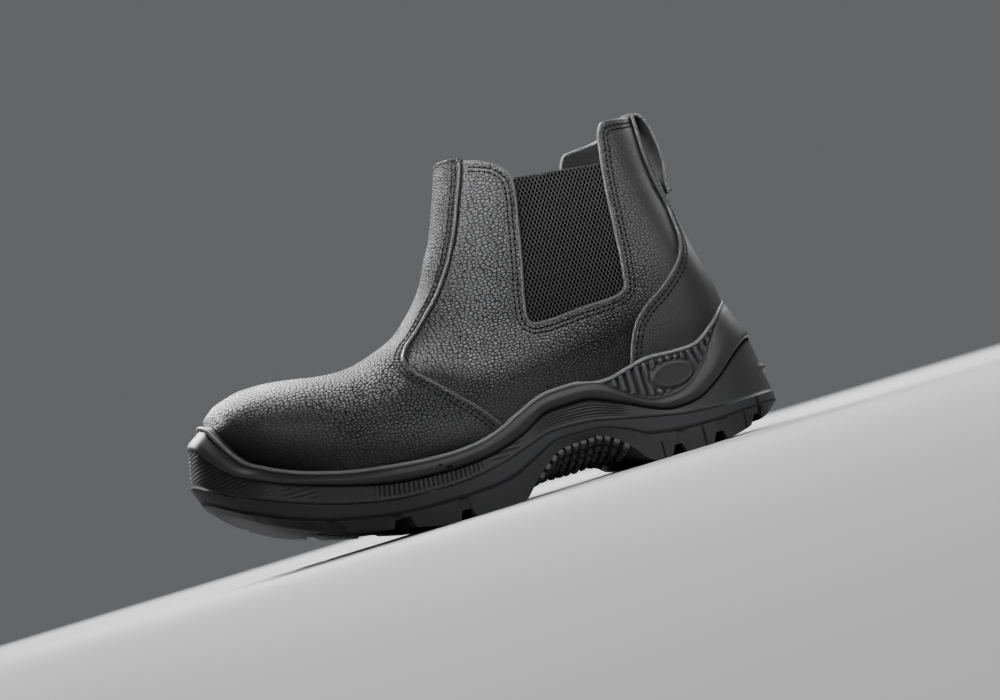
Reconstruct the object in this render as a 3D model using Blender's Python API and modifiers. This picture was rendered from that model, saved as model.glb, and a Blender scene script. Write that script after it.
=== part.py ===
"""Slip-on safety boot for the left foot, ankle high, standing empty on its sole.

Frame: +X from heel to toe, +Y to the wearer's left (the outer side), +Z up, floor at z = 0.
Tables are in millimetres, measured from the back of the heel, the boot's axis and the floor.
"""

import math

import bmesh
import bpy
import numpy as np

MM = 0.001

# Driving sizes, in millimetres
SOLE_LENGTH = 301.7
BALL_WIDTH = 108.0
COLLAR_HEIGHT = 177.3
HEEL_SEAT = 31.0
BALL_SEAT = 22.5
LEATHER = 2.0
OVERLAY = 1.2
ELASTIC = 1.6
TAPE = 1.6
TAPE_WIDTH = 22.0
INSOLE = 3.5
INSOLE_LIFT = 0.5
INSOLE_INSET = 11.0
INSOLE_SHARE = 0.86
GAP = 0.3
GORE_GAP = 0.5
CUP_GAP = 0.4

# Sizes that the tables below were drawn for
TABLE_LENGTH = 301.7
TABLE_BALL = 108.0
TABLE_COLLAR = 177.3

# The upper's sections fan about this point from the collar (0 degrees) to the ball (90 degrees)
PIVOT_X = 232.0
PIVOT_Z = 180.0
TOE_SWING = 6.0
SWING_START = 140.0
SWING_LENGTH = 145.0
TOE_ROUND = 47.0
TOE_POWER = 2.3
TOE_TUCK_ROOM = 24.5

# Mesh density
COLLAR_RAYS = 9
FOOT_RAYS = 14
TOE_RAYS = 7
RAY_POINTS = 11
STATION_STEP = 0.04
PAD_SIDES = 20

# Reach of the cutters, clear of the boot on every side
SIDE_REACH = 90.0
REACH_UP = 220.0
REACH_BACK = -20.0
REACH_FRONT = 320.0
REACH_DOWN = 12.0


def columns(names, *rows):
    """Table with named columns."""
    return dict(zip(names.split(), np.array(rows, float).T))


# Centre line over the instep, collar front to ball
RIDGE = columns(
    "x z",
    (136.3, 180.0),
    (140.1, 167.0),
    (145.2, 154.0),
    (155.3, 132.8),
    (165.5, 114.9),
    (175.6, 103.8),
    (186.0, 95.5),
    (196.0, 91.4),
    (211.0, 87.2),
    (232.0, 87.8),
)

# Centre line down the back, carried on below the last as a virtual bottom
BACK = columns(
    "x z",
    (31.7, 180.0),
    (27.4, 134.7),
    (21.5, 101.4),
    (15.1, 71.1),
    (14.6, 58.0),
    (15.0, 44.0),
    (17.5, HEEL_SEAT),
    (22.0, 18.0),
    (31.0, 8.0),
    (50.0, 4.0),
    (104.0, 4.0),
    (143.0, 2.0),
    (175.0, 0.0),
    (204.0, -2.0),
    (232.0, 0.0),
)
HEEL_CORNER = 6

# Lower edge of the upper, heel to ball
FEATHER = columns(
    "x z",
    (17.5, HEEL_SEAT),
    (60.0, HEEL_SEAT),
    (104.0, 29.0),
    (143.0, 26.0),
    (175.0, 23.5),
    (204.0, BALL_SEAT),
    (232.0, 24.5),
)

# Toe box: share of the way from ball to toe front, height of the top and of the lower edge
TOE_BOX = columns(
    "share top low",
    (0.00, 87.8, 24.5),
    (0.25, 89.9, 27.5),
    (0.53, 91.0, 32.5),
    (0.80, 89.3, 38.5),
    (0.945, 85.6, 41.8),
    (1.00, 82.0, 43.0),
)

# Front of the toe by height
TOE_FRONT = columns(
    "z x",
    (20.0, 270.0),
    (43.0, 281.5),
    (52.0, 285.5),
    (62.0, 287.6),
    (72.0, 287.8),
    (80.0, 286.5),
    (92.0, 282.0),
)

# Sections of the last. Station 0 to 1 is the fan from collar to ball, 1 to 2 the toe.
# Half-widths to the outer (lateral) and inner (medial) side, near the ridge and near the far end;
# crown and tuck are the depths over which the wall rounds in at the ridge and at the far end.
SECTIONS = columns(
    "station lateral_top medial_top lateral_low medial_low crown tuck power",
    (0.00, 36.0, 36.0, 36.0, 36.0, 36.0, 34.0, 2.0),
    (0.15, 36.5, 36.5, 36.0, 36.0, 38.0, 34.0, 2.0),
    (0.28, 37.5, 37.5, 36.0, 35.5, 44.0, 35.0, 1.9),
    (0.36, 39.0, 39.0, 36.0, 35.0, 52.0, 37.0, 1.8),
    (0.45, 40.0, 39.5, 37.0, 34.5, 56.0, 40.0, 1.8),
    (0.56, 41.0, 39.5, 39.0, 34.0, 58.0, 40.0, 1.8),
    (0.67, 43.0, 41.0, 43.0, 37.0, 58.0, 40.0, 1.8),
    (0.78, 46.0, 44.0, 48.5, 43.0, 56.0, 40.0, 1.9),
    (0.89, 48.0, 46.5, 52.0, 47.5, 54.0, 40.0, 2.0),
    (1.00, 46.5, 46.5, 51.0, 48.0, 50.0, 40.0, 2.1),
    (1.50, 43.0, 44.0, 46.0, 46.0, 42.0, 38.0, 2.2),
    (2.00, 40.0, 41.0, 42.0, 43.0, 36.0, 36.0, 2.2),
)

# Sole seen from above: half-widths from the swung axis, by share of the length
SOLE_OUTLINE = columns(
    "share lateral medial",
    (0.00, 41.0, 41.0),
    (0.18, 41.5, 41.5),
    (0.30, 42.5, 41.8),
    (0.42, 45.0, 42.0),
    (0.53, 50.5, 45.5),
    (0.64, 55.7, 50.0),
    (0.72, 56.5, 50.5),
    (0.82, 53.0, 48.5),
    (1.00, 48.0, 46.0),
)
HEEL_ROUND = 44.0
BUMPER_ROUND = 50.0

# Heights of the lines along the sole's side, by share of each line's own length
SOLE_LINES = columns(
    "share ground step joint groove band rim",
    (0.00, 9.0, 12.5, 17.0, 48.6, 67.4, 69.0),
    (0.005, 8.6, 12.4, 17.0, 48.5, 66.9, 68.5),
    (0.015, 7.7, 12.2, 16.9, 48.2, 65.7, 67.2),
    (0.03, 6.5, 12.0, 16.8, 47.7, 64.2, 65.5),
    (0.07, 4.0, 11.8, 16.5, 42.5, 56.0, 58.0),
    (0.12, 1.0, 11.0, 16.4, 32.0, 39.5, 50.1),
    (0.16, 0.0, 10.6, 17.0, 25.2, 31.4, 49.2),
    (0.21, 0.0, 11.0, 18.2, 23.2, 28.9, 49.8),
    (0.26, 0.0, 12.5, 21.0, 27.5, 33.2, 47.4),
    (0.285, 2.0, 14.0, 22.5, 31.0, 38.0, 45.6),
    (0.31, 10.0, 18.0, 24.0, 34.3, 43.2, 44.7),
    (0.37, 20.3, 23.5, 27.6, 39.8, 46.8, 48.1),
    (0.43, 19.5, 23.8, 28.4, 39.3, 45.8, 47.1),
    (0.49, 9.4, 17.5, 24.3, 31.6, 39.7, 41.0),
    (0.53, 0.0, 12.5, 20.8, 28.0, 35.0, 36.3),
    (0.63, 0.0, 10.2, 17.0, 25.2, 30.9, 32.2),
    (0.655, 0.0, 10.2, 17.1, 25.4, 31.1, 32.4),
    (0.72, 3.6, 11.0, 18.2, 27.2, 32.7, 34.0),
    (0.82, 10.0, 16.5, 25.2, 34.7, 37.6, 38.9),
    (0.90, 18.5, 24.5, 34.0, 43.2, 44.8, 46.4),
    (0.933, 23.5, 29.4, 38.7, 48.2, 50.0, 51.4),
    (0.959, 28.0, 33.7, 42.7, 53.4, 55.4, 57.0),
    (0.976, 31.2, 37.2, 46.2, 59.6, 63.0, 64.9),
    (0.988, 33.6, 40.0, 49.0, 65.6, 70.4, 72.6),
    (0.995, 35.0, 41.8, 51.0, 70.2, 75.4, 77.8),
    (1.00, 36.0, 43.0, 52.3, 72.0, 77.6, 79.9),
)
ARCH_BULGE = 14.0
ARCH_START = 0.29
ARCH_END = 0.50

# Rings of the midsole's side, floor side first: where they end, how far they stand out, their line
MIDSOLE_RINGS = (
    # back, front, stand-out, line, raise
    (0.0, 301.7, 0.0, "joint", GAP),
    (0.4, 301.2, -1.6, "joint", 1.4),
    (4.6, 297.6, -2.2, "groove", -0.9),
    (3.4, 298.8, -0.4, "groove", 0.0),
    (7.4, 296.0, 0.4, "between", 0.0),
    (11.2, 291.6, -0.9, "band", 0.0),
    (12.2, 290.6, -2.5, "band", 0.7),
    (12.8, 289.4, -2.9, "rim", 0.0),
)

# Ribs on the midsole's side, in rows of bars that lean or stand upright
BAR_WIDTH = 2.0
BAR_RIBS = (
    # first, last, count, lean, stand-out, lower line, raise, upper line, drop
    (168.0, 228.0, 8, 0.0, -0.9, "joint", 2.4, "groove", 1.8),
    (237.0, 273.0, 5, 4.0, -0.9, "joint", 2.4, "groove", 1.8),
    (80.0, 90.0, 3, 3.0, -1.5, "band", 2.2, "rim", 1.6),
    (40.5, 49.5, 3, -3.0, -1.5, "band", 2.2, "rim", 1.6),
)
# Level ribs along the waist: start, end, share of the way from joint to groove, stand-out
WAIST_RIB_HEIGHT = 1.5
WAIST_RIB_STATIONS = 6
WAIST_RIBS = columns(
    "start end share stand_out",
    (88.0, 152.0, 0.40, -1.0),
    (96.0, 142.0, 0.70, -1.2),
)

# Bare oval pad in the recess of the heel's side
PAD_X = 62.4
PAD_Z = 38.8
PAD_LONG = 11.6
PAD_HIGH = 6.3
PAD_STAND_OUT = -1.4

# Rings of the outsole's side, top first
OUTSOLE_RINGS = (
    # back, front, stand-out, line, raise
    (0.0, 301.7, 0.0, "joint", 0.0),
    (0.2, 298.4, -0.5, "step", 0.5),
    (0.0, 298.0, 0.3, "step", -0.5),
    (5.0, 292.5, -1.2, "ground", 0.0),
)
UNDERSIDE_SHRINK = (0.72, 0.4, 0.12)
UNDERSIDE_INSET = 46.0
CORE_SHRINK = 0.8
CORE_DEPTH = 5.0

# Grooves between the side lugs: place at the sole's edge, width and height
LUG_GROOVES = columns(
    "x width height",
    (246.0, 4.0, 5.0),
    (218.0, 6.0, 5.5),
    (187.5, 4.0, 4.5),
    (69.5, 4.5, 5.0),
    (46.5, 4.5, 5.0),
    (22.0, 4.0, 4.5),
)
GROOVE_INNER = 15.0
GROOVE_LENGTH = 62.0
GROOVE_SLANT = math.radians(12)
# Long grooves beside the middle row of lugs: start, end, distance from the axis
LONG_GROOVES = columns(
    "start end aside",
    (166.0, 256.0, 15.0),
    (166.0, 256.0, -15.0),
    (28.0, 84.0, 0.0),
)
LONG_GROOVE_WIDTH = 4.5
LONG_GROOVE_HEIGHT = 5.0
LONG_GROOVE_STEPS = 6

# Upper edge of the leather and the cut-out for the elastic, from the front strip to the back
COLLAR_EDGE = columns(
    "x z",
    (139.0, 175.8),
    (131.0, 171.4),
    (125.5, 168.6),
    (121.3, 166.5),
    (117.9, 164.3),
    (115.0, 160.8),
    (112.1, 153.8),
    (115.8, 132.8),
    (120.6, 111.5),
    (125.1, 93.9),
    (126.3, 86.0),
    (124.0, 82.0),
    (117.5, 81.2),
    (99.6, 82.7),
    (76.0, 84.5),
    (71.6, 87.2),
    (70.0, 94.0),
    (67.2, 118.2),
    (65.3, 139.0),
    (62.8, 155.5),
    (60.0, 167.0),
    (57.4, 170.3),
    (53.0, 171.1),
    (44.0, 171.5),
    (30.0, 174.0),
)

# Elastic panel, which runs on behind the leather
GORE_EDGE = columns(
    "x z",
    (121.5, 156.4),
    (125.5, 133.0),
    (129.5, 112.0),
    (133.0, 93.0),
    (133.0, 82.0),
    (127.0, 76.0),
    (116.5, 74.7),
    (96.7, 75.6),
    (76.0, 77.2),
    (67.0, 80.0),
    (62.3, 88.0),
    (60.0, 125.0),
    (57.2, 151.4),
)

# Rear edge of the front overlay, collar to sole
VAMP_SEAM = columns(
    "x z",
    (130.2, 176.0),
    (131.6, 169.0),
    (137.4, 153.5),
    (145.4, 134.0),
    (153.0, 120.5),
    (160.8, 109.7),
    (169.0, 101.4),
    (177.5, 93.4),
    (184.8, 87.2),
    (188.2, 81.8),
    (187.6, 76.0),
    (181.5, 68.4),
    (172.0, 57.4),
    (162.8, 47.2),
    (153.0, 33.5),
)

# Front edge of the heel overlay, collar to sole
COUNTER_SEAM = columns(
    "x z",
    (36.5, 178.0),
    (37.8, 152.0),
    (36.2, 134.0),
    (33.6, 121.0),
    (33.6, 110.0),
    (35.4, 102.0),
    (39.4, 95.0),
    (45.5, 88.5),
    (54.0, 81.8),
    (65.0, 75.0),
    (71.8, 69.0),
    (77.5, 59.5),
    (82.5, 46.0),
)
COUNTER_TOP = 174.4
VAMP_TOP = ((150.0, COLLAR_HEIGHT), (138.5, COLLAR_HEIGHT), (129.0, 172.6))
VAMP_STRIP_TOP = 171.0
VAMP_START = 160.0
COLLAR_FRONT = 180.0

# Pull loop: height, and distance of the tape's middle behind the back line
PULL_LOOP = columns(
    "z behind",
    (172.4, 5.4),
    (168.0, 6.6),
    (161.0, 7.4),
    (153.0, 7.5),
    (146.0, 6.6),
    (140.0, 4.6),
    (136.5, 3.5),
    (131.5, 3.1),
)
LOOP_OVER_TOP = ((36.5, 175.8), (30.8, 175.8), (27.6, 175.0))

COLOURS = {
    "outsole": ((0.020, 0.020, 0.021), 0.62),
    "midsole": ((0.024, 0.024, 0.025), 0.58),
    "upper": ((0.018, 0.018, 0.019), 0.45),
    "vamp": ((0.020, 0.020, 0.021), 0.42),
    "heel_counter": ((0.019, 0.019, 0.020), 0.38),
    "gore_lateral": ((0.016, 0.016, 0.017), 0.85),
    "gore_medial": ((0.016, 0.016, 0.017), 0.85),
    "pull_loop": ((0.014, 0.014, 0.015), 0.75),
    "insole": ((0.045, 0.045, 0.048), 0.90),
}


def smooth(stations, values, at):
    """Cubic through a table's points that never swings past a row."""
    rise = np.diff(values) / np.diff(stations)
    slope = np.gradient(values, stations)
    limit = 3 * np.minimum(abs(rise[:-1]), abs(rise[1:]))
    turns = rise[:-1] * rise[1:] <= 0
    slope[1:-1] = np.where(turns, 0, np.clip(slope[1:-1], -limit, limit))
    at = np.clip(at, stations[0], stations[-1])
    row = np.clip(np.searchsorted(stations, at, side="right") - 1, 0, len(stations) - 2)
    step = stations[row + 1] - stations[row]
    t = (at - stations[row]) / step
    start = (1 - t) ** 2 * ((1 + 2 * t) * values[row] + t * step * slope[row])
    end = t ** 2 * ((3 - 2 * t) * values[row + 1] + (t - 1) * step * slope[row + 1])
    return start + end


def crown(depth, size, power):
    """Rounded edge: nothing at the edge, full width once size deep."""
    t = np.clip(depth / size, 0, 1)
    return (1 - (1 - t) ** power) ** (1 / power)


def swing(x):
    """Sideways bend of the boot's axis towards the inner side at the toe."""
    t = np.clip((x - SWING_START) / SWING_LENGTH, 0, 1)
    return -TOE_SWING * t * t * (3 - 2 * t)


def polar(table):
    """Angle and reach of a profile's points from the fan's pivot."""
    angle = np.arctan2(PIVOT_Z - table["z"], PIVOT_X - table["x"])
    reach = np.hypot(PIVOT_Z - table["z"], PIVOT_X - table["x"])
    return angle, reach


def ray_point(angle, reach):
    """Side-view point on one ray of the fan."""
    return PIVOT_X - reach * np.cos(angle), PIVOT_Z - reach * np.sin(angle)


def section(name, station):
    """One column of the section table at a station."""
    return smooth(SECTIONS["station"], SECTIONS[name], station)


def side_of(station, depth, room, side):
    """Half-width of a section, at a depth below the ridge and a room above the far end."""
    q = depth / (depth + room)
    top = section(side + "_top", station)
    low = section(side + "_low", station)
    ridge_round = crown(depth, section("crown", station), section("power", station))
    return (top + (low - top) * q) * ridge_round * crown(room, section("tuck", station), 2.0)


def fan_half_width(angle, reach, side):
    """Half-width of the upper between collar and ball."""
    depth = reach - smooth(*polar(RIDGE), angle)
    room = smooth(*polar(BACK), angle) - reach
    return side_of(angle / (math.pi / 2), np.maximum(depth, 0), np.maximum(room, 0), side)


def toe_half_width(share, z, side):
    """Half-width of the upper between ball and toe front."""
    top = smooth(TOE_BOX["share"], TOE_BOX["top"], share)
    low = smooth(TOE_BOX["share"], TOE_BOX["low"], share)
    front = smooth(TOE_FRONT["z"], TOE_FRONT["x"], z)
    wide = side_of(1 + share, np.maximum(top - z, 0), z - low + TOE_TUCK_ROOM, side)
    return wide * crown((1 - share) * (front - PIVOT_X), TOE_ROUND, TOE_POWER)


def last_rays():
    """Side-view points of every ray, collar to toe, with the half-width on either side."""
    heel_angle = polar(BACK)[0][HEEL_CORNER]
    angles = np.concatenate([
        np.linspace(0, heel_angle, COLLAR_RAYS),
        np.linspace(heel_angle, math.pi / 2, FOOT_RAYS)[1:],
    ])
    along = (1 - np.cos(np.linspace(0, math.pi, RAY_POINTS))) / 2
    rays = []
    for angle in angles:
        near = smooth(*polar(RIDGE), angle)
        bottom = FEATHER if angle > heel_angle else BACK
        far = smooth(*polar(bottom), angle)
        reach = near + (far - near) * along
        x, z = ray_point(angle, reach)
        sides = [fan_half_width(angle, reach, side) for side in ("lateral", "medial")]
        rays.append((x, z, *sides))
    for share in np.sin(np.linspace(0, math.pi / 2, TOE_RAYS + 1))[1:]:
        top = smooth(TOE_BOX["share"], TOE_BOX["top"], share)
        low = smooth(TOE_BOX["share"], TOE_BOX["low"], share)
        z = top + (low - top) * along
        x = PIVOT_X + share * (smooth(TOE_FRONT["z"], TOE_FRONT["x"], z) - PIVOT_X)
        sides = [toe_half_width(share, z, side) for side in ("lateral", "medial")]
        rays.append((x, z, *sides))
    return rays


def metres(points):
    """Table millimetres to metres at the driving sizes."""
    scale = (SOLE_LENGTH / TABLE_LENGTH, BALL_WIDTH / TABLE_BALL, COLLAR_HEIGHT / TABLE_COLLAR)
    return np.asarray(points, float) * scale * MM


def curve_through(table, per_span):
    """Side-view points on a smooth line through a table's rows."""
    x, z = table["x"], table["z"]
    run = np.concatenate([[0], np.cumsum(np.hypot(np.diff(x), np.diff(z)))])
    at = np.linspace(0, run[-1], per_span * (len(x) - 1) + 1)
    return list(zip(smooth(run, x, at), smooth(run, z, at)))


def new_object(name, bm, group):
    """Object from a bmesh, in a collection."""
    bmesh.ops.recalc_face_normals(bm, faces=bm.faces)
    mesh = bpy.data.meshes.new(name)
    bm.to_mesh(mesh)
    bm.free()
    obj = bpy.data.objects.new(name, mesh)
    group.objects.link(obj)
    return obj


def last_surface(offset, closed=False):
    """Open skin of the last, moved out by an offset; closed adds the floor and the collar lid."""
    bm = bmesh.new()
    rays = last_rays()
    first_foot = COLLAR_RAYS - 1
    grids = []
    for side, sign in ((2, 1), (3, -1)):
        grid = []
        for ray in rays:
            y = swing(ray[0]) + sign * ray[side]
            grid.append([bm.verts.new(p) for p in metres(np.column_stack([ray[0], y, ray[1]]))])
        for near, far in zip(grid, grid[1:]):
            for k in range(RAY_POINTS - 1):
                bm.faces.new((near[k], near[k + 1], far[k + 1], far[k]))
        grids.append(grid)
    if closed:
        lateral, medial = grids
        for k in range(first_foot, len(rays) - 1):
            floor = (lateral[k][-1], lateral[k + 1][-1], medial[k + 1][-1], medial[k][-1])
            bm.faces.new(floor).material_index = 1
        for k in range(RAY_POINTS - 1):
            bm.faces.new((lateral[0][k], lateral[0][k + 1], medial[0][k + 1], medial[0][k]))
    bmesh.ops.remove_doubles(bm, verts=bm.verts, dist=0.00002)
    bmesh.ops.dissolve_degenerate(bm, edges=bm.edges, dist=0.000002)
    bmesh.ops.triangulate(bm, faces=bm.faces, quad_method="FIXED")
    bmesh.ops.recalc_face_normals(bm, faces=bm.faces)
    bm.normal_update()
    moves = [vert.normal * offset * MM for vert in bm.verts]
    for vert, move in zip(bm.verts, moves):
        vert.co += move
        if any(face.material_index for face in vert.link_faces):
            vert.co.z -= offset * MM
    return bm


def prism(name, outline, group, low=-SIDE_REACH, high=SIDE_REACH):
    """Side-view outline carried across the boot, as a cutter."""
    bm = bmesh.new()
    verts = [bm.verts.new(metres((x, low, z))) for x, z in outline]
    face = bm.faces.new(verts)
    grown = bmesh.ops.extrude_face_region(bm, geom=[face])["geom"]
    across = metres((0, high - low, 0))
    moved = [item for item in grown if isinstance(item, bmesh.types.BMVert)]
    bmesh.ops.translate(bm, verts=moved, vec=across)
    return as_cutter(new_object(name, bm, group))


def as_cutter(obj):
    """Guide shape that isn't part of the boot."""
    obj.hide_render = True
    obj.display_type = "WIRE"
    return obj


def add_boolean(obj, operation, cutter):
    """Exact Boolean modifier."""
    modifier = obj.modifiers.new(operation.lower(), "BOOLEAN")
    modifier.operation = operation
    modifier.solver = "EXACT"
    modifier.use_self = cutter.get("crossing", False)
    modifier.object = cutter


def add_wall(obj, thickness, outward):
    """Wall of even thickness on an open skin."""
    modifier = obj.modifiers.new("wall", "SOLIDIFY")
    modifier.thickness = thickness * MM
    modifier.offset = 1.0 if outward else -1.0


def sole_shares():
    """Shares of the length: every row of the side lines, with wide spans divided."""
    rows = SOLE_LINES["share"]
    spans = []
    for low, high in zip(rows, rows[1:]):
        steps = math.ceil((high - low) / STATION_STEP)
        spans.append(np.linspace(low, high, steps + 1)[:-1])
    return np.append(np.concatenate(spans), rows[-1])


def sole_line(name, share):
    """Height of a named line along the sole's side."""
    if name == "between":
        return (sole_line("groove", share) + sole_line("band", share)) / 2
    return smooth(SOLE_LINES["share"], SOLE_LINES[name], share)


def sole_half_width(share, stand_out, side):
    """Half-width of the sole from its axis, on one side."""
    length = TABLE_LENGTH
    heel = crown(share * length, HEEL_ROUND, 2.0)
    toe = crown((1 - share) * length, BUMPER_ROUND, TOE_POWER)
    return (smooth(SOLE_OUTLINE["share"], SOLE_OUTLINE[side], share) + stand_out) * heel * toe


def sole_ring(back, front, stand_out, height, shrink=1.0, inset=0.0):
    """Closed loop round the sole: outer side from heel to toe, inner side back."""
    share = sole_shares()
    x = back + (front - back) * share + inset * (1 - 2 * share) ** 3
    axis = swing(share * TABLE_LENGTH)
    lateral = axis + sole_half_width(share, stand_out, "lateral") * shrink
    medial = axis - sole_half_width(share, stand_out, "medial") * shrink
    outer = np.column_stack([x, lateral, height])
    inner = np.column_stack([x, medial, height])
    return np.concatenate([outer, inner[-2:0:-1]])


def loft(rings):
    """Closed solid through loops of the sole, capped straight across at both ends."""
    bm = bmesh.new()
    loops = [[bm.verts.new(p) for p in metres(ring)] for ring in rings]
    count = len(loops[0])
    tip = count // 2
    for low, high in zip(loops, loops[1:]):
        for k in range(count):
            n = (k + 1) % count
            bm.faces.new((low[k], low[n], high[n], high[k]))
    for loop in (loops[0], loops[-1]):
        bm.faces.new((loop[0], loop[1], loop[-1]))
        for k in range(1, tip - 1):
            bm.faces.new((loop[k], loop[k + 1], loop[count - k - 1], loop[count - k]))
        bm.faces.new((loop[tip - 1], loop[tip], loop[tip + 1]))
    bmesh.ops.triangulate(bm, faces=bm.faces, quad_method="FIXED")
    return bm


def side_rings(rows):
    """Loops of a sole piece from its table of rings."""
    share = sole_shares()
    rings = []
    for back, front, stand_out, line, lift in rows:
        rings.append(sole_ring(back, front, stand_out, sole_line(line, share) + lift))
    return rings


def arch_drop(share, shrink):
    """How far the middle of the arch hangs below its edges."""
    t = np.clip((share - ARCH_START) / (ARCH_END - ARCH_START), 0, 1)
    return ARCH_BULGE * np.sin(math.pi * t) ** 0.8 * (1 - shrink ** 2)


def inner_ring(row, shrink, height_at):
    """Loop inside one of the sole's rings, with its height worked out along the boot."""
    back, front, stand_out = row[:3]
    inset = UNDERSIDE_INSET * (1 - shrink)
    share = sole_shares()
    moved = share + inset * (1 - 2 * share) ** 3 / (front - back)
    return sole_ring(back, front, stand_out, height_at(moved), shrink, inset)


def core_height(share):
    """Height at which the two soles meet inside, clear of the footbed."""
    return np.minimum(sole_line("joint", share), seat_height(share * TABLE_LENGTH) - CORE_DEPTH)


def make_outsole(parts, cutters):
    """Hard lower sole with its lugs."""
    rings = [inner_ring(OUTSOLE_RINGS[0], CORE_SHRINK, core_height)]
    rings += side_rings(OUTSOLE_RINGS)
    for shrink in UNDERSIDE_SHRINK:
        def underside(share):
            return sole_line("ground", share) - arch_drop(share, shrink)
        rings.append(inner_ring(OUTSOLE_RINGS[-1], shrink, underside))
    outsole = new_object("outsole", loft(rings), parts)
    add_boolean(outsole, "DIFFERENCE", lug_cutter(cutters))
    return outsole


def add_groove(bm, centre, size, turn):
    """One box of the groove cutter."""
    box = bmesh.ops.create_cube(bm, size=1.0)["verts"]
    bmesh.ops.scale(bm, verts=box, vec=metres(size))
    spin = np.array([[math.cos(turn), -math.sin(turn)], [math.sin(turn), math.cos(turn)]])
    place = metres(centre)
    for vert in box:
        vert.co.xy = spin @ np.array(vert.co.xy)
        vert.co.xyz = np.array(vert.co.xyz) + place


def add_strip(bm, stations):
    """Closed bar through corners given in fours: outer low and high, inner high and low."""
    rows = [[bm.verts.new(p) for p in metres(corners)] for corners in stations]
    for near, far in zip(rows, rows[1:]):
        for k in range(4):
            n = (k + 1) % 4
            bm.faces.new((near[k], near[n], far[n], far[k]))
    bm.faces.new(rows[0])
    bm.faces.new(rows[-1][::-1])


def lug_cutter(cutters):
    """All grooves of the tread in one cutter."""
    bm = bmesh.new()
    for x, width, height in zip(*LUG_GROOVES.values()):
        ground = sole_line("ground", x / TABLE_LENGTH)
        aside = GROOVE_INNER + GROOVE_LENGTH / 2
        for sign in (1, -1):
            centre = (x, sign * aside, ground + (height - REACH_DOWN) / 2)
            add_groove(bm, centre, (width, GROOVE_LENGTH, height + REACH_DOWN), sign * GROOVE_SLANT)
    for start, end, aside in zip(*LONG_GROOVES.values()):
        stations = []
        for x in np.linspace(start, end, LONG_GROOVE_STEPS + 1):
            ground = sole_line("ground", x / TABLE_LENGTH)
            low, high = ground - REACH_DOWN, ground + LONG_GROOVE_HEIGHT
            y = swing(x) + aside
            left, right = y + LONG_GROOVE_WIDTH / 2, y - LONG_GROOVE_WIDTH / 2
            stations.append([(x, left, low), (x, left, high), (x, right, high), (x, right, low)])
        add_strip(bm, stations)
    cutter = as_cutter(new_object("lug_cutter", bm, cutters))
    cutter["crossing"] = True
    return cutter


def side_point(x, stand_out, side):
    """Place across the boot of the sole's side, at a place along it."""
    share = x / TABLE_LENGTH
    sign = 1 if side == "lateral" else -1
    return swing(x) + sign * sole_half_width(share, stand_out, side)


def across(low, high, stand_out):
    """Four corners of a rib that runs right across the sole, from its two side-view points."""
    points = []
    for side, ends in (("lateral", (low, high)), ("medial", (high, low))):
        for x, z in ends:
            points.append((x, side_point(x, stand_out, side), z))
    return points


def line_at(line, x):
    """Height of a side line of the midsole at a place along the boot."""
    back, front = next(row[:2] for row in MIDSOLE_RINGS[1:] if row[3] == line)
    return sole_line(line, (x - back) / (front - back))


def side_ribs(cutters):
    """Ribs and the oval pad that stand on the midsole's side."""
    bm = bmesh.new()
    for first, last, count, lean, stand_out, lower, lift, upper, drop in BAR_RIBS:
        for x in np.linspace(first, last, count):
            low = line_at(lower, x) + lift
            high = line_at(upper, x) - drop
            stations = []
            for edge in (x - BAR_WIDTH / 2, x + BAR_WIDTH / 2):
                stations.append(across((edge - lean / 2, low), (edge + lean / 2, high), stand_out))
            add_strip(bm, stations)
    for start, end, share, stand_out in zip(*WAIST_RIBS.values()):
        stations = []
        for x in np.linspace(start, end, WAIST_RIB_STATIONS):
            joint, groove = line_at("joint", x), line_at("groove", x)
            z = joint + (groove - joint) * share
            half = WAIST_RIB_HEIGHT / 2
            stations.append(across((x, z - half), (x, z + half), stand_out))
        add_strip(bm, stations)
    turn = np.linspace(0, 2 * math.pi, PAD_SIDES, endpoint=False)
    oval = list(zip(PAD_X + PAD_LONG * np.cos(turn), PAD_Z + PAD_HIGH * np.sin(turn)))
    outer = [bm.verts.new(metres((x, side_point(x, PAD_STAND_OUT, "lateral"), z))) for x, z in oval]
    inner = [bm.verts.new(metres((x, side_point(x, PAD_STAND_OUT, "medial"), z))) for x, z in oval]
    for k in range(PAD_SIDES):
        bm.faces.new((outer[k - 1], outer[k], inner[k], inner[k - 1]))
    bm.faces.new(outer)
    bm.faces.new(inner)
    bmesh.ops.triangulate(bm, faces=bm.faces)
    ribs = as_cutter(new_object("side_ribs", bm, cutters))
    ribs["crossing"] = True
    return ribs


def make_midsole(parts, cutters):
    """Soft upper sole with its rim, hollowed for the lasted upper."""
    core = inner_ring(MIDSOLE_RINGS[0], CORE_SHRINK, lambda share: core_height(share) + GAP)
    midsole = new_object("midsole", loft([core] + side_rings(MIDSOLE_RINGS)), parts)
    add_boolean(midsole, "UNION", side_ribs(cutters))
    form = new_object("last_form", last_surface(CUP_GAP, closed=True), cutters)
    add_boolean(midsole, "DIFFERENCE", as_cutter(form))
    return midsole


def make_upper(parts, cutters):
    """Lasted leather shell, trimmed at the collar and cut out for the elastic."""
    upper = new_object("upper", last_surface(0.0), parts)
    add_wall(upper, LEATHER, outward=False)
    edge = list(zip(COLLAR_EDGE["x"], COLLAR_EDGE["z"]))
    above = [
        (REACH_BACK, edge[-1][1]),
        (REACH_BACK, REACH_UP),
        (COLLAR_FRONT, REACH_UP),
        (COLLAR_FRONT, edge[0][1]),
    ]
    add_boolean(upper, "DIFFERENCE", prism("collar_trim", edge + above, cutters))
    return upper


def rim_edge(start, end, lift):
    """Side-view line just above the midsole's rim, between two places along the boot."""
    back, front = MIDSOLE_RINGS[-1][:2]
    share = sole_shares()
    x = back + (front - back) * share
    z = sole_line("rim", share) + lift
    return [(a, b) for a, b in zip(x, z) if start < a < end]


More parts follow.
